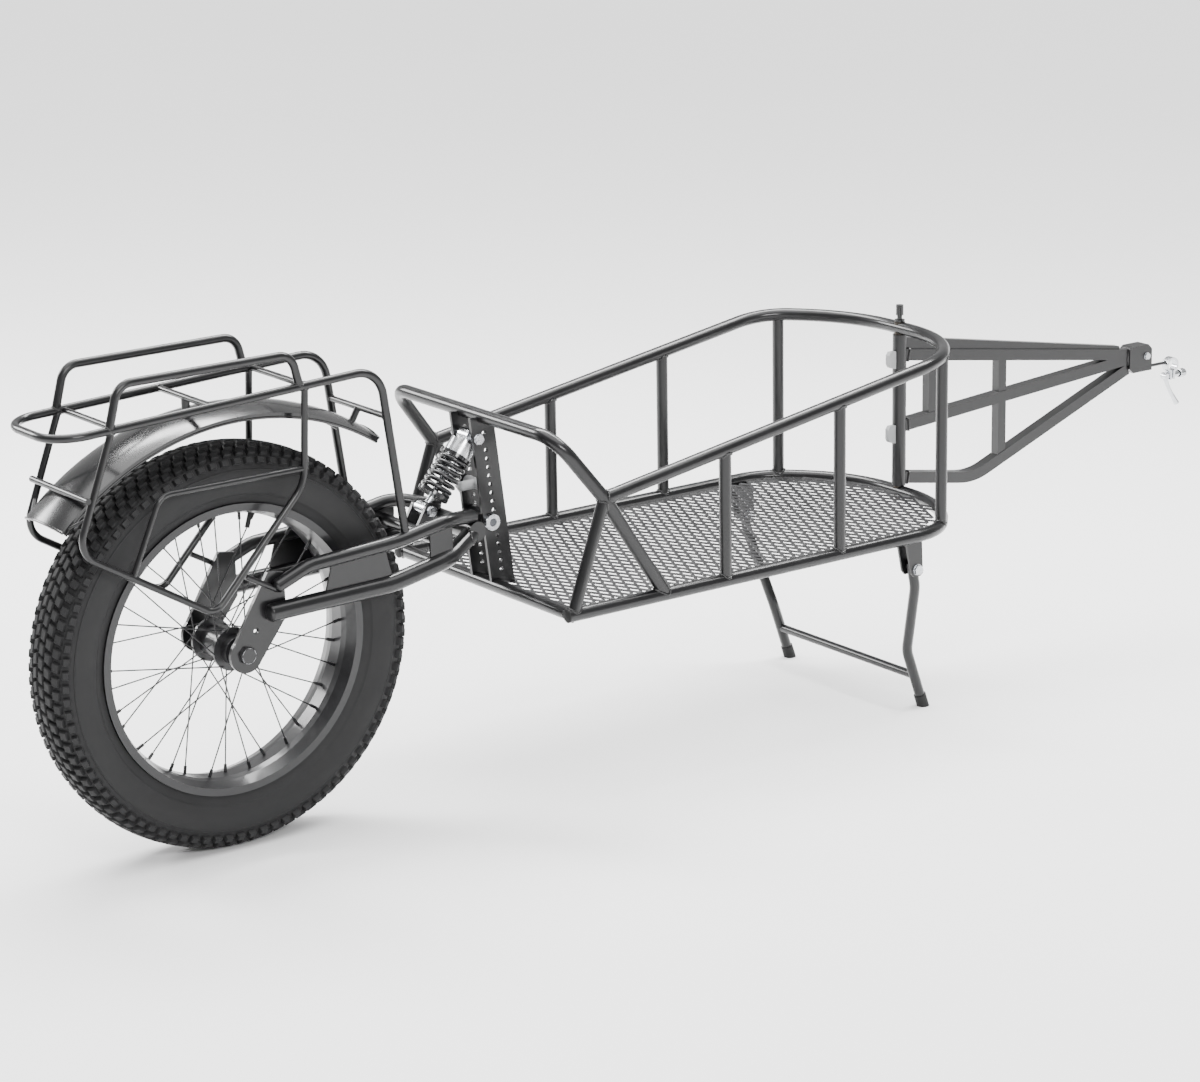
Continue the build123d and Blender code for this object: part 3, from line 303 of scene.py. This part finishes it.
# %% [markdown]
# The bar puts a ring at each point of its line. Many small bars and blocks make one piece, so a
# second helper joins their lists and moves each face's numbers along.

# %% Define the bar helper
def bar(line, radius, sides=12, closed=False):
    """Points and faces of a round bar along a line; radius is a number or one per point."""
    line = [Vector(p) for p in line]
    count = len(line)
    radii = radius if hasattr(radius, "__len__") else [radius] * count
    points = []
    normal = None
    for i, spot in enumerate(line):
        before = line[i - 1] if closed or i else line[i]
        after = line[(i + 1) % count] if closed or i < count - 1 else line[i]
        along = (after - before).normalized()
        if normal is None:
            normal = along.orthogonal().normalized()
        normal = (normal - along * normal.dot(along)).normalized()
        points += ring(spot, normal, along.cross(normal), radii[i], sides)
    faces = skin(count, sides, closed)
    if not closed:
        faces.append(tuple(reversed(range(sides))))
        faces.append(tuple(range((count - 1) * sides, count * sides)))
    return points, faces


def merged(chunks):
    """Several (points, faces) lists as one."""
    points, faces = [], []
    for chunk_points, chunk_faces in chunks:
        start = len(points)
        points += list(chunk_points)
        faces += [tuple(start + i for i in face) for face in chunk_faces]
    return points, faces

# %% [markdown]
# ## The tyre's casing
# A fat tyre is a tall round tube that bulges past its rim. Its section is drawn as distances
# from the axle and from the mid plane, with two thin moulded rings on each side wall, and then
# turned about the axle. Turning a drawn section gives a true round shape with few points.

# %% Turn the casing
axle = pivots["wheel_spin"]
casing_half = [
    # distance from the axle, distance from the mid plane
    (0.2095, 0.0365), (0.2140, 0.0378), (0.2200, 0.0410), (0.2225, 0.0424), (0.2232, 0.0432),
    (0.2242, 0.0436), (0.2250, 0.0438), (0.2320, 0.0464), (0.2400, 0.0479), (0.2460, 0.0482),
    (0.2520, 0.0479), (0.2570, 0.0469), (0.2578, 0.0474), (0.2588, 0.0471), (0.2596, 0.0459),
    (0.2650, 0.0440), (0.2710, 0.0408), (0.2756, 0.0366), (0.2790, 0.0310), (0.2816, 0.0235),
    (0.2832, 0.0150), (0.2839, 0.0075), (0.2841, 0.0),
]
casing = casing_half + [(r, -y) for r, y in reversed(casing_half[:-1])]
inside = [(0.2095, -0.0300), (0.2500, -0.0300), (0.2500, 0.0300), (0.2095, 0.0300)]
tyre_steps = 216


def wheel_spot(radius, y, angle):
    """Point on the wheel: radius from the axle, y across it, angle forward of the top."""
    return Vector((radius * math.sin(angle), y, axle.z + radius * math.cos(angle)))


def turned(section, steps):
    """Points and faces of a closed section turned once about the axle."""
    points = [wheel_spot(r, y, 2 * math.pi * i / steps) for i in range(steps)
              for r, y in section]
    return points, skin(steps, len(section), closed=True, flip=True)


casing_mesh = turned(casing + inside, tyre_steps)
print("casing has", len(casing_mesh[0]), "points")

# %% [markdown]
# ## The tread
# The knobs are small tapered blocks in rows. The rows lean against each other like an arrow, so
# the tyre rolls quietly on a hard road and still grips loose ground. Each block is set on the
# casing at its row's own height and slope, with its edges broken, and none stands taller than
# the tyre's stated radius.

# %% Define a knob
knob_root = 0.0015
slope_step = 0.002
crown = casing_half[::-1][:9]
crown_y, crown_radius = [spot[1] for spot in crown], [spot[0] for spot in crown]


def casing_height(y):
    """Radius and slope angle of the casing's crown at a distance from the mid plane."""
    radius = float(np.interp(abs(y), crown_y, crown_radius))
    ahead = float(np.interp(abs(y) + slope_step, crown_y, crown_radius))
    return radius, math.atan2(radius - ahead, slope_step)


def knob(y, angle, half_across, half_round, lean, height):
    """Points and faces of one block standing on the casing."""
    radius, slope = casing_height(y)
    side = math.copysign(1, y)
    foot = wheel_spot(radius - knob_root, y, angle)
    out_plain = (wheel_spot(1, 0, angle) - axle).normalized()
    out = out_plain * math.cos(slope) + Vector((0, side, 0)) * math.sin(slope)
    across = Vector((0, side, 0)) * math.cos(slope) - out_plain * math.sin(slope)
    around = out.cross(across)
    # each level has a height above the knob's root and a share of the knob's full size
    foot_level, edge_level = (0, 1.12), (height * 0.82 + knob_root, 0.98)
    top_level = (height + knob_root, 0.84)
    points = []
    for lift, share in (foot_level, edge_level, top_level):
        for a, b in corners:
            shift = across * (a * half_across * share)
            shift += around * (b * half_round * share + a * lean * half_across)
            points.append(foot + out * lift + shift)
    return points, [(8, 9, 10, 11)] + skin(3, len(corners))


# %% [markdown]
# Four rows on each side of the middle share the tread's width. Every second row is moved on by
# half a block, and the left side by a quarter, so that no gap runs straight across the tyre.

# %% Set the knobs
tread_rows = [
    # half width across, half length round, middle across, lean, height
    (0.0050, 0.0075, 0.0070, 0.35, 0.0056),
    (0.0055, 0.0065, 0.0200, 0.30, 0.0056),
    (0.0050, 0.0060, 0.0322, 0.20, 0.0058),
    (0.0042, 0.0055, 0.0412, 0.0, 0.0060),
]
knobs_round = 90
knob_step = 2 * math.pi / knobs_round

knob_meshes = []
for row, (half_across, half_round, middle, lean, height) in enumerate(tread_rows):
    for i in range(knobs_round):
        for side in (-1, 1):
            angle = knob_step * (i + 0.5 * (row % 2) + 0.25 * (side > 0))
            knob_meshes.append(knob(side * middle, angle, half_across, half_round,
                                    lean * side, height))
tyre = piece("knobbly_tyre", *merged([casing_mesh] + knob_meshes), "wheel", "tyre_rubber")
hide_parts("tyre")
print("tyre has", len(knob_meshes), "knobs")

# %% [markdown]
# ## The expanded-metal floor
# Expanded metal is a sheet that is slit in rows and pulled open, so every strand leans and every
# opening is a diamond. Each row of strands is one zigzag, and neighbouring rows touch at their
# points. A zigzag is laid across the basket, cut where it meets the rails, and given a flat
# leaning section. Real strands catch the light on their lean, which a picture of holes can't do.

# %% Trace the floor's outline
floor_low, floor_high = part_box("floor_mesh")
floor_z = (floor_low.z + floor_high.z) / 2
edge_spots = sorted({(round(v.co.x, 5), round(abs(v.co.y), 5))
                     for v in nodes["floor_mesh"].data.vertices})


def hull_top(spots):
    """Upper edge of the outline, from the rear to the nose."""
    kept = []
    for spot in spots:
        while len(kept) > 1:
            (ax, ay), (bx, by) = kept[-2], kept[-1]
            if (bx - ax) * (spot[1] - ay) - (by - ay) * (spot[0] - ax) >= 0:
                kept.pop()
            else:
                break
        kept.append(spot)
    return kept


edge = hull_top(edge_spots)
edge_x, edge_y = [e[0] for e in edge], [e[1] for e in edge]
print("the floor's outline has", len(edge), "points on each side")

# %% [markdown]
# Each strand is one zigzag with a flat section. The front edge of every strand stands a little
# higher than its rear edge, which is the lean that pulling the sheet open leaves behind.

# %% Weave the floor
diamond_across, diamond_along = 0.0168, 0.035
strand_width, strand_thick, strand_lean = 0.0040, 0.0011, 0.0006
edge_gap = 0.001
row_gap = diamond_across / 2


def zigzag(row):
    """Middle line of one row of strands, cut where it meets the outline."""
    x = floor_low.x + row * row_gap
    reach = float(np.interp(x, edge_x, edge_y)) - edge_gap
    half_steps = int(reach / (diamond_along / 2))
    phase = 1 if row % 2 else -1
    line = []
    for i in range(-half_steps, half_steps + 1):
        swing = phase * (1 if i % 2 else -1) * row_gap / 2
        line.append((x + swing, i * diamond_along / 2))
    return line


def strand(line):
    """Points and faces of one flat leaning strand along a zigzag."""
    points = []
    for x, y in line:
        for dx, dz in corners:
            z = floor_z + dz * strand_thick / 2 + dx * strand_lean
            points.append((x + dx * strand_width / 2, y, z))
    ends = [(3, 2, 1, 0), tuple(range(len(points) - 4, len(points)))]
    return points, skin(len(line), len(corners), flip=True) + ends


rows = int((floor_high.x - floor_low.x) / row_gap)
lines = [zigzag(row) for row in range(1, rows)]
strands = [strand(line) for line in lines if len(line) > 2]
floor = piece("expanded_floor", *merged(strands), "frame", "floor_black")
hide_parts("floor_mesh")
print("floor has", len(strands), "rows of strands")

# %% [markdown]
# ## The coil spring
# The spring is a wire wound round the shock absorber between two seats, with its last turns
# closed up and lying flat. It shortens when the swingarm rises, but here it is wound at one
# length and rides on the shock's upper part.

# %% Wind the spring
shock_top, shock_foot = pivots["shock_tilt"], Vector((0.345, 0, 0.425))
shock_way = (shock_foot - shock_top).normalized()
spring_from, spring_to = 0.038, 0.096
spring_radius, wire_radius = 0.0205, 0.00325
spring_turns, flat_turns = 6.5, 0.48
seat_gap = 0.0003
steps_per_turn = 40
rising_turns = spring_turns - 2 * flat_turns
open_length = spring_to - spring_from - 2 * wire_radius - 2 * seat_gap
side_a = Vector((0, 1, 0))
side_b = shock_way.cross(side_a)

coil = []
for i in range(int(spring_turns * steps_per_turn) + 1):
    wound = i / steps_per_turn
    share = min(max(wound - flat_turns, 0), rising_turns) / rising_turns
    centre = shock_top + shock_way * (spring_from + wire_radius + seat_gap + open_length * share)
    angle = 2 * math.pi * wound
    coil.append(centre + (side_a * math.cos(angle) + side_b * math.sin(angle)) * spring_radius)
spring = piece("coil_spring", *bar(coil, wire_radius, 14), "shock_upper", "spring_black")
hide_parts("shock_spring")
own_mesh(spring)
print("spring is", round((spring_to - spring_from) * 1000), "mm long")

# %% [markdown]
# ## Weld beads
# Each tube ends in a saddle on its neighbour, and a bead of weld runs round the joint. The bead
# follows the line where two round tubes meet: for each point round the branch, the distance
# along it is solved so that the point lies on the main tube. A slow ripple in its thickness
# gives the stacked-coin look of a hand-made weld.

# %% Define the weld helper
weld_steps = 56
weld_size, weld_ripple, ripple_rate = 0.0019, 0.16, 2.4


def saddle(centre, branch, branch_radius, main, main_radius):
    """Line round a branch tube where it meets a main tube; the two centre lines cross."""
    branch, u, v = square_to(branch)
    main = Vector(main).normalized()
    flat_branch = branch - main * branch.dot(main)
    line = []
    for spoke in ring(Vector(), u, v, branch_radius, weld_steps):
        flat_spoke = spoke - main * spoke.dot(main)
        a = flat_branch.dot(flat_branch)
        b = 2 * flat_spoke.dot(flat_branch)
        c = flat_spoke.dot(flat_spoke) - main_radius ** 2
        reach = (-b + math.sqrt(max(b * b - 4 * a * c, 0))) / (2 * a)
        line.append(Vector(centre) + spoke + branch * reach)
    return line


def weld(centre, branch, branch_radius, main, main_radius, size=weld_size):
    """Points and faces of one rippled bead round a joint."""
    line = saddle(centre, branch, branch_radius, main, main_radius)
    radii = [size * (1 + weld_ripple * math.sin(ripple_rate * i)) for i in range(len(line))]
    return bar(line, radii, 8, closed=True)


print("a bead is", weld_size * 2000, "mm thick")

# %% [markdown]
# ## Where the frame is welded
# The uprights stand on the bottom rail and carry the top rail. The top rail slopes, so its
# height at each upright is found from the two ends of the slope. The rear cross tube, the braces
# and the hoop's feet are welded in the same way.

# %% Weld the basket
rail_radius, upright_radius = 0.010, 0.009
rail_y, rail_low_z = 0.216, 0.296
rear_x, hoop_foot_x = 0.449, 0.613
knee = Vector((0.507, 0, 0.457))
slope = 0.165
slope_way = Vector((1, 0, slope))
forward, upward = Vector((1, 0, 0)), Vector((0, 0, 1))
front_bend = Vector((0.80, -0.60, 0))
brace_way = Vector((knee.x - rear_x, 0, knee.z - rail_low_z))
hoop_way = Vector((knee.x - hoop_foot_x, 0, knee.z - rail_low_z))
# Where both tubes have one size, the branch is taken a little thinner, so that the line of the
# joint can be solved all round.
corner_ease, foot_ease, knee_ease = 0.999, 0.99, 0.98
uprights = ((0.725, rail_y, forward), (0.941, rail_y, forward), (1.159, 0.1953, front_bend))

beads = []
for side in (-1, 1):
    corner = (rear_x, side * rail_y, rail_low_z)
    hoop_foot = (hoop_foot_x, side * rail_y, rail_low_z)
    hoop_knee = (knee.x, side * rail_y, knee.z)
    for x, y, way in uprights:
        flip = Vector((1, side, 1))
        main_high = (way + upward * (slope * way.x)) * flip
        top_z = knee.z + slope * (x - knee.x)
        beads.append(weld((x, side * y, rail_low_z), upward, upright_radius, way * flip,
                          rail_radius))
        beads.append(weld((x, side * y, top_z), -upward, upright_radius, main_high,
                          rail_radius))
    beads.append(weld(corner, (0, -side, 0), rail_radius * corner_ease, forward,
                      rail_radius))
    beads.append(weld(corner, brace_way, upright_radius, forward, rail_radius))
    beads.append(weld(hoop_foot, hoop_way, rail_radius * foot_ease, forward, rail_radius))
    beads.append(weld(hoop_knee, slope_way, rail_radius * knee_ease, hoop_way, rail_radius))
    beads.append(weld(hoop_knee, -brace_way, upright_radius, hoop_way, rail_radius))
piece("basket_welds", *merged(beads), "frame", "frame_black", paint=weld_black)
print("basket has", len(beads), "weld beads")

# %% [markdown]
# ## Welds on the swingarm and the rack
# The rack is thinner tube, so its beads are finer. The bars of the rack run straight across, the
# hoops hang from its sides, and the guard rails stand on them.

# %% Weld the rack
rack_y, rack_radius, rack_bar_radius, hoop_radius = 0.073, 0.006, 0.0045, 0.005
rack_low, rack_rise = 0.652, 0.046
rack_way = Vector((1, 0, rack_rise))
rack_bar_xs = (-0.190, -0.040, 0.108)
front_bar, front_leg_way = (0.2382, 0.592), (-0.036, 0, 0.2485)
guard_feet = ((-0.200, (0.016, 0, 0.060)), (0.098, (-0.012, 0, 0.048)))
hoop_tops = ((-0.196, (-0.060, 0, -0.161)), (0.106, (-0.006, 0, -0.137)))
fine_bead = 0.0012


def rack_spot(x, side):
    """Point on the middle line of the rack's side tube."""
    return x, side * rack_y, rack_low + rack_rise * x


rack_beads = []
for side in (-1, 1):
    for x in rack_bar_xs:
        rack_beads.append(weld(rack_spot(x, side), (0, -side, 0), rack_bar_radius, rack_way,
                               rack_radius, fine_bead))
    rack_beads.append(weld((front_bar[0], side * rack_y, front_bar[1]), (0, -side, 0),
                           rack_bar_radius, front_leg_way, rack_radius, fine_bead))
    for x, way in guard_feet:
        rack_beads.append(weld(rack_spot(x, side), way, rack_radius * knee_ease, rack_way,
                               rack_radius, fine_bead))
    for x, way in hoop_tops:
        rack_beads.append(weld(rack_spot(x, side), way, hoop_radius, rack_way, rack_radius,
                               fine_bead))
piece("rack_welds", *merged(rack_beads), "swingarm", "frame_black", paint=weld_black)
print("rack has", len(rack_beads), "beads")

# %% [markdown]
# The swingarm's lower tubes leave the pivot barrel at a slant. The bead's line follows from the
# tube's first bend and from the place where the tube meets the barrel.

# %% Weld the swingarm
arm_root, arm_bend = Vector((0.400, 0.040, 0.388)), Vector((0.334, 0.075, 0.369))
arm_radius, barrel_radius = 0.0128, 0.015
arm_beads = []
for side in (-1, 1):
    flip = Vector((1, side, 1))
    arm_beads.append(weld(arm_root * flip, (arm_bend - arm_root) * flip, arm_radius, (0, 1, 0),
                          barrel_radius))
piece("swingarm_welds", *merged(arm_beads), "swingarm", "frame_black", paint=weld_black)
print("swingarm has", len(arm_beads), "beads")

# %% [markdown]
# ## Welds on the drawbar
# The drawbar's tubes are square, so a round bead doesn't fit them. A rounded rectangle of bead
# goes round each tube where it meets the post. Its corners are eased, as a welder's torch eases
# them.

# %% Define a square bead
square_size, square_ripple, square_rate = 0.0017, 0.14, 1.9
corner_share, corner_steps = 0.22, 6


def square_bead(centre, way, half):
    """Points and faces of a bead round a square tube, in the plane across its way."""
    across = Vector((0, 1, 0))
    upright = Vector(way).normalized().cross(across).normalized()
    corner = half * corner_share
    line = []
    for a, b in ((1, 1), (-1, 1), (-1, -1), (1, -1)):
        start = math.atan2(b, a) - math.pi / 4
        for k in range(corner_steps + 1):
            angle = start + k / corner_steps * math.pi / 2
            line.append(Vector(centre)
                        + across * (a * (half - corner) + corner * math.cos(angle))
                        + upright * (b * (half - corner) + corner * math.sin(angle)))
    radii = [square_size * (1 + square_ripple * math.sin(square_rate * i))
             for i in range(len(line))]
    return bar(line, radii, 8, closed=True)


# %% [markdown]
# Three tubes start at the post, and two of them end at the nose block. The bead at the post sits
# just outside the post's round wall, where the flat tube first touches it.

# %% Weld the drawbar
post_x, post_radius, tube_half = pivots["drawbar_yaw"].x, 0.011, 0.0094
nose_rear_x, bead_stand_off = 1.7315, 0.0012
top_way, middle_way, lower_way = (0.488, 0, -0.073), (0.488, 0, 0.034), (0.151, 0, -0.026)
drawbar_beads = []
for z, way in ((0.518, top_way), (0.403, middle_way), (0.320, lower_way)):
    centre = Vector((post_x, 0, z)) + Vector(way).normalized() * (post_radius + bead_stand_off)
    drawbar_beads.append(square_bead(centre, way, tube_half))
for z, way in ((0.445, top_way), (0.437, middle_way)):
    drawbar_beads.append(square_bead((nose_rear_x, 0, z), way, tube_half))
piece("drawbar_welds", *merged(drawbar_beads), "drawbar", "frame_black", paint=weld_black)
print("drawbar has", len(drawbar_beads), "beads")

# %% [markdown]
# ## Bolt heads and nuts
# A hexagon with a chamfered face reads as a real bolt even when it is small. The helper builds
# one on any axis: a washer face, six flats, and a top edge that is turned round. Each sits over
# the plain head that the frame already has.

# %% Define the bolt helper
hex_points = 24
washer_thick = 0.0008


def hexagon(centre, way, across_flats, height, washer=1.18):
    """Points and faces of a hexagon head on a thin washer; way points out of the head."""
    way, u, v = square_to(way)
    half = across_flats / 2
    per_flat, hex_step = hex_points // 6, 360 / hex_points
    flats = [half / math.cos(math.radians((k % per_flat) * hex_step - 30))
             for k in range(hex_points)]
    # radius and lift of each ring, from the washer's foot to the middle of the top
    levels = [(half * washer, 0), (half * washer, washer_thick), (flats, washer_thick),
              (flats, height * 0.86), (half * 0.96, height), (half * 0.3, height)]
    points = []
    for radius, lift in levels:
        points += ring(Vector(centre) + way * lift, u, v, radius, hex_points)
    bottom = tuple(range(hex_points - 1, -1, -1))
    top = tuple(range(len(points) - hex_points, len(points)))
    return points, [bottom] + skin(len(levels), hex_points) + [top]


# %% [markdown]
# Each bolt runs across the trailer, so one line in the list gives a bolt its centre and each of
# its heads: how far across it sits, which way it faces and how high it is. A nut is a little
# higher than a head. The stand's two bolts are short, and each has a head outside its bracket
# and a nut inside.

# %% Fit the bolts
stand_heads = []
for side in (-1, 1):
    stand_heads += [(side * 0.2163, side, 0.0053), (side * 0.1917, -side, 0.0063)]
bolts = (
    # name, centre, across flats, body, slot, heads
    ("shock_top_heads", shock_top, 0.0135, "frame", "zinc_steel",
     [(-0.027, -1, 0.0045), (0.027, 1, 0.0065)]),
    ("shock_foot_heads", shock_foot, 0.0135, "swingarm", "zinc_steel",
     [(-0.0185, -1, 0.0045), (0.0185, 1, 0.0055)]),
    ("stand_bolt_heads", pivots["kickstand_fold"], 0.0145, "frame", "zinc_steel", stand_heads),
    ("axle_nuts", axle, 0.0222, "swingarm", "rod_black",
     [(-0.068, -1, 0.0062), (0.068, 1, 0.0062)]),
    ("nose_bolt_heads", pivots["hitch_pitch"], 0.0102, "drawbar", "zinc_steel",
     [(-0.013, -1, 0.0042), (0.013, 1, 0.0052)]),
)
for name, centre, across_flats, body, slot, heads in bolts:
    made = [hexagon((centre.x, y, centre.z), (0, way, 0), across_flats, height)
            for y, way, height in heads]
    piece(name, *merged(made), body, slot, smooth_angle=25)

swing = pivots["swingarm_pivot"]
socket = hexagon((swing.x, -0.0312, swing.z), (0, -1, 0), 0.0098, 0.0014, washer=1.2)
piece("pivot_bolt_socket", *socket, "frame", "bearing_steel", smooth_angle=25)
print("fitted", len(bolts), "sets of bolt heads and a socket")

# %% [markdown]
# ## The fender's rolled edge
# A pressed fender has its rim rolled over so that it is stiff and not sharp. A thin bar follows
# both lower edges and the two ends. Its line is worked out on the fender's own circle, whose
# centre lies a little ahead of the axle and below it.

# %% Roll the fender's edge
fender_centre = Vector((0.016, 0, 0.222))
fender_radius, fender_drop, fender_skirt = 0.411, 0.009, 0.006
fender_low = fender_radius - fender_drop - fender_skirt
edge_y_out = 0.052 - 0.001
end_bulge = 0.0085
fender_back, fender_front = math.radians(-44.5), math.radians(33.5)
edge_radius, end_radius = 0.0022, 0.00198
side_steps, end_steps = 80, 24


def fender_spot(radius, y, angle):
    """Point on the fender's circle, angle forward of its top."""
    return fender_centre + Vector((radius * math.sin(angle), y, radius * math.cos(angle)))


edges = []
for side in (-1, 1):
    sweep = fender_front - fender_back
    arc = [fender_spot(fender_low, side * edge_y_out, fender_back + sweep * i / side_steps)
           for i in range(side_steps + 1)]
    edges.append(bar(arc, edge_radius, 10))
for angle in (fender_back, fender_front):
    arc = []
    for i in range(end_steps + 1):
        share = -1 + 2 * i / end_steps
        height = fender_low + fender_skirt + end_bulge * (1 - share * share)
        arc.append(fender_spot(height, share * edge_y_out, angle))
    edges.append(bar(arc, end_radius, 10))
piece("fender_rolled_edge", *merged(edges), "swingarm", "fender_gloss")
print("fender edge rolled from", len(edges), "bars")

# %% [markdown]
# ## The quick-release lever and its nut
# The clamp's lever is a cast blade, thick at the cam and flat at the tip, with a slight curve so
# that a finger gets behind it. It is a bar whose thickness changes along the line. The nut at
# the other end has grooves all round, so that it turns by hand.

# %% Shape the lever
cam = pivots["clamp_lever_flip"]
blade_long, blade_out, blade_curve, blade_steps = 0.050, 0.028, 1.35, 24
blade_radius, blade_waist, blade_tip = 0.0042, 0.0012, 0.0004
cam_half, cam_bevel, cam_taper, cam_radius = 0.0056, 0.0008, 0.001, 0.0058

blade_line, blade_radii = [], []
for i in range(blade_steps + 1):
    share = i / blade_steps
    blade_line.append(cam + Vector((blade_out * share ** blade_curve, 0, -blade_long * share)))
    blade_radii.append(blade_radius - blade_waist * math.sin(math.pi * share)
                       + blade_tip * share)
cam_ys = (-cam_half, cam_bevel - cam_half, cam_half - cam_bevel, cam_half)
cam_line = [cam + Vector((0, y, 0)) for y in cam_ys]
cam_radii = [cam_radius - cam_taper, cam_radius, cam_radius, cam_radius - cam_taper]
lever = piece("clamp_lever_blade",
              *merged([bar(blade_line, blade_radii, 14), bar(cam_line, cam_radii, 24)]),
              "clamp_lever", "clamp_silver")
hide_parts("clamp_lever")
print("lever is", round(blade_long * 1000), "mm long")

# %% [markdown]
# The nut is four rings of points. Two of every four points lie a little lower, which makes the
# grooves, and the first and last rings are smaller, which breaks the edges.

# %% Groove the nut
nut_centre, nut_radius, nut_long = Vector((1.8575, 0, cam.z)), 0.0073, 0.012
nut_points, groove_depth, nut_edge = 48, 0.07, 0.86
nut_levels = ((0, nut_edge), (0.12, 1), (0.88, 1), (1, nut_edge))
nut_rings = []
for along, share in nut_levels:
    radii = [nut_radius * share * (1 - groove_depth * (k % 4 in (0, 1)))
             for k in range(nut_points)]
    nut_rings += ring(nut_centre + Vector((nut_long * along, 0, 0)), Vector((0, 1, 0)),
                      Vector((0, 0, 1)), radii, nut_points)
nut_faces = skin(len(nut_levels), nut_points)
nut_faces.append(tuple(range(nut_points - 1, -1, -1)))
nut_faces.append(tuple(range(len(nut_rings) - nut_points, len(nut_rings))))
piece("clamp_nut_grooves", nut_rings, nut_faces, "hitch", "clamp_silver", smooth_angle=25)
print("nut has", nut_points // 4, "grooves")

# %% [markdown]
# ## Caps on the open tubes
# The bottom rail and the swingarm's tubes end in the open. A shallow domed cap closes each one,
# which keeps the rain out. A dome is a few rings that shrink towards a point.

# %% Define the dome helper
dome_rings, dome_sides = 7, 28


def dome(centre, way, radius, height):
    """Points and faces of a shallow dome; way points out of the tube."""
    way, u, v = square_to(way)
    centre = Vector(centre)
    points = []
    for i in range(dome_rings):
        rise = math.pi / 2 * i / dome_rings
        points += ring(centre + way * (height * math.sin(rise)), u, v,
                       radius * math.cos(rise), dome_sides)
    tip, last = len(points), len(points) - dome_sides
    points.append(centre + way * height)
    faces = skin(dome_rings, dome_sides)
    faces += [(last + k, last + (k + 1) % dome_sides, tip) for k in range(dome_sides)]
    faces.append(tuple(range(dome_sides - 1, -1, -1)))
    return points, faces


# %% [markdown]
# The caps sit a hair inside the tubes' outside, so that the cut end of each tube stays visible
# as a thin line. Those on the swingarm are painted with it, and those on the rail are rubber.

# %% Cap the tubes
rail_end_x = 0.4391
arm_y = 0.075
arm_ends = (
    # x, z, way out, radius, height
    (0.0362, 0.346, (-0.199, 0, -0.004), 0.0126, 0.0055),
    (0.0482, 0.382, (-0.052, 0, -0.020), 0.0097, 0.0045),
)
rail_caps, arm_caps = [], []
for side in (-1, 1):
    rail_caps.append(dome((rail_end_x, side * rail_y, rail_low_z), -forward, 0.0098, 0.003))
    for x, z, way, radius, height in arm_ends:
        arm_caps.append(dome((x, side * arm_y, z), way, radius, height))
piece("rail_end_caps", *merged(rail_caps), "frame", "black_rubber")
piece("arm_end_caps", *merged(arm_caps), "swingarm", "frame_black")
print("capped", len(rail_caps) + len(arm_caps), "tube ends")

# %% [markdown]
# ## The room
# The trailer stands on a plain pale floor in soft studio light. Gloss black paint shows the
# shape of every lamp as a reflection, so the lamps do two jobs. A long one overhead draws the
# bright lines along the rails, one on the far side shines in the curve of the fender, and one
# beside the camera opens up the wheel. A wide soft fill from straight above keeps the floor
# evenly pale far behind the trailer. The sky is bright where the camera sees it and dim where
# it lights the paint, so that the black stays black in front of a pale background.

# %% Lay the floor
reach = 40
ground = bpy.data.meshes.new("studio_floor")
ground.from_pydata([(a * reach, b * reach, 0) for a, b in corners], [], [(0, 1, 2, 3)])
studio_floor = bpy.data.objects.new("studio_floor", ground)
bpy.context.scene.collection.objects.link(studio_floor)
ground.materials.append(finish("pale_floor", (0.9, 0.9, 0.9), 0.9, drift=0.01,
                               drift_size=2.0, grain_size=0.01, grain_depth=0.00001, shine=0.1))
print("floor is", 2 * reach, "m wide")

# %% [markdown]
# The sky is plain white. A light-path test tells the rays that come from the camera from all
# others, and gives each kind its own brightness.

# %% Set the sky
sky_lit, sky_seen = 0.55, 4.0
sky = bpy.data.worlds.new("studio_sky")
sky.use_nodes = True
sky_tree = sky.node_tree
back = sky_tree.nodes["Background"]
back.inputs["Color"].default_value = (1, 1, 1, 1)
ray = sky_tree.nodes.new("ShaderNodeLightPath")
seen = sky_tree.nodes.new("ShaderNodeMapRange")
set_inputs(seen, {"To Min": sky_lit, "To Max": sky_seen})
sky_tree.links.new(ray.outputs["Is Camera Ray"], seen.inputs["Value"])
sky_tree.links.new(seen.outputs["Result"], back.inputs["Strength"])
bpy.context.scene.world = sky
print("sky set")

# %% [markdown]
# The three lamps are rectangles that all point at the middle of the trailer. A long narrow lamp
# gives a long narrow reflection, which is what makes a round tube look round.

# %% Hang the lamps
target = Vector((0.75, 0, 0.40))
lamps = (
    # name, place, width and height, watts
    ("lamp_above", (1.6, 0.9, 3.0), (4.4, 0.6), 260),
    ("lamp_far", (-1.5, 3.4, 2.1), (1.4, 1.2), 130),
    ("lamp_beside", (-0.6, -4.2, 2.6), (2.2, 0.8), 150),
)


def hang(name, kind, place, strength):
    """A lamp of a kind, linked at its place; gives its light and its object."""
    light = bpy.data.lights.new(name, kind)
    light.energy = strength
    holder = bpy.data.objects.new(name, light)
    holder.location = place
    bpy.context.scene.collection.objects.link(holder)
    return light, holder


for name, place, size, watts in lamps:
    light, holder = hang(name, "AREA", place, watts)
    light.shape = "RECTANGLE"
    light.size, light.size_y = size
    holder.rotation_euler = (target - Vector(place)).to_track_quat("-Z", "Y").to_euler()

fill = hang("lamp_fill", "SUN", (0, 0, 6), 5.0)[0]
fill.angle = math.radians(80)
print("hung", len(lamps) + 1, "lamps")
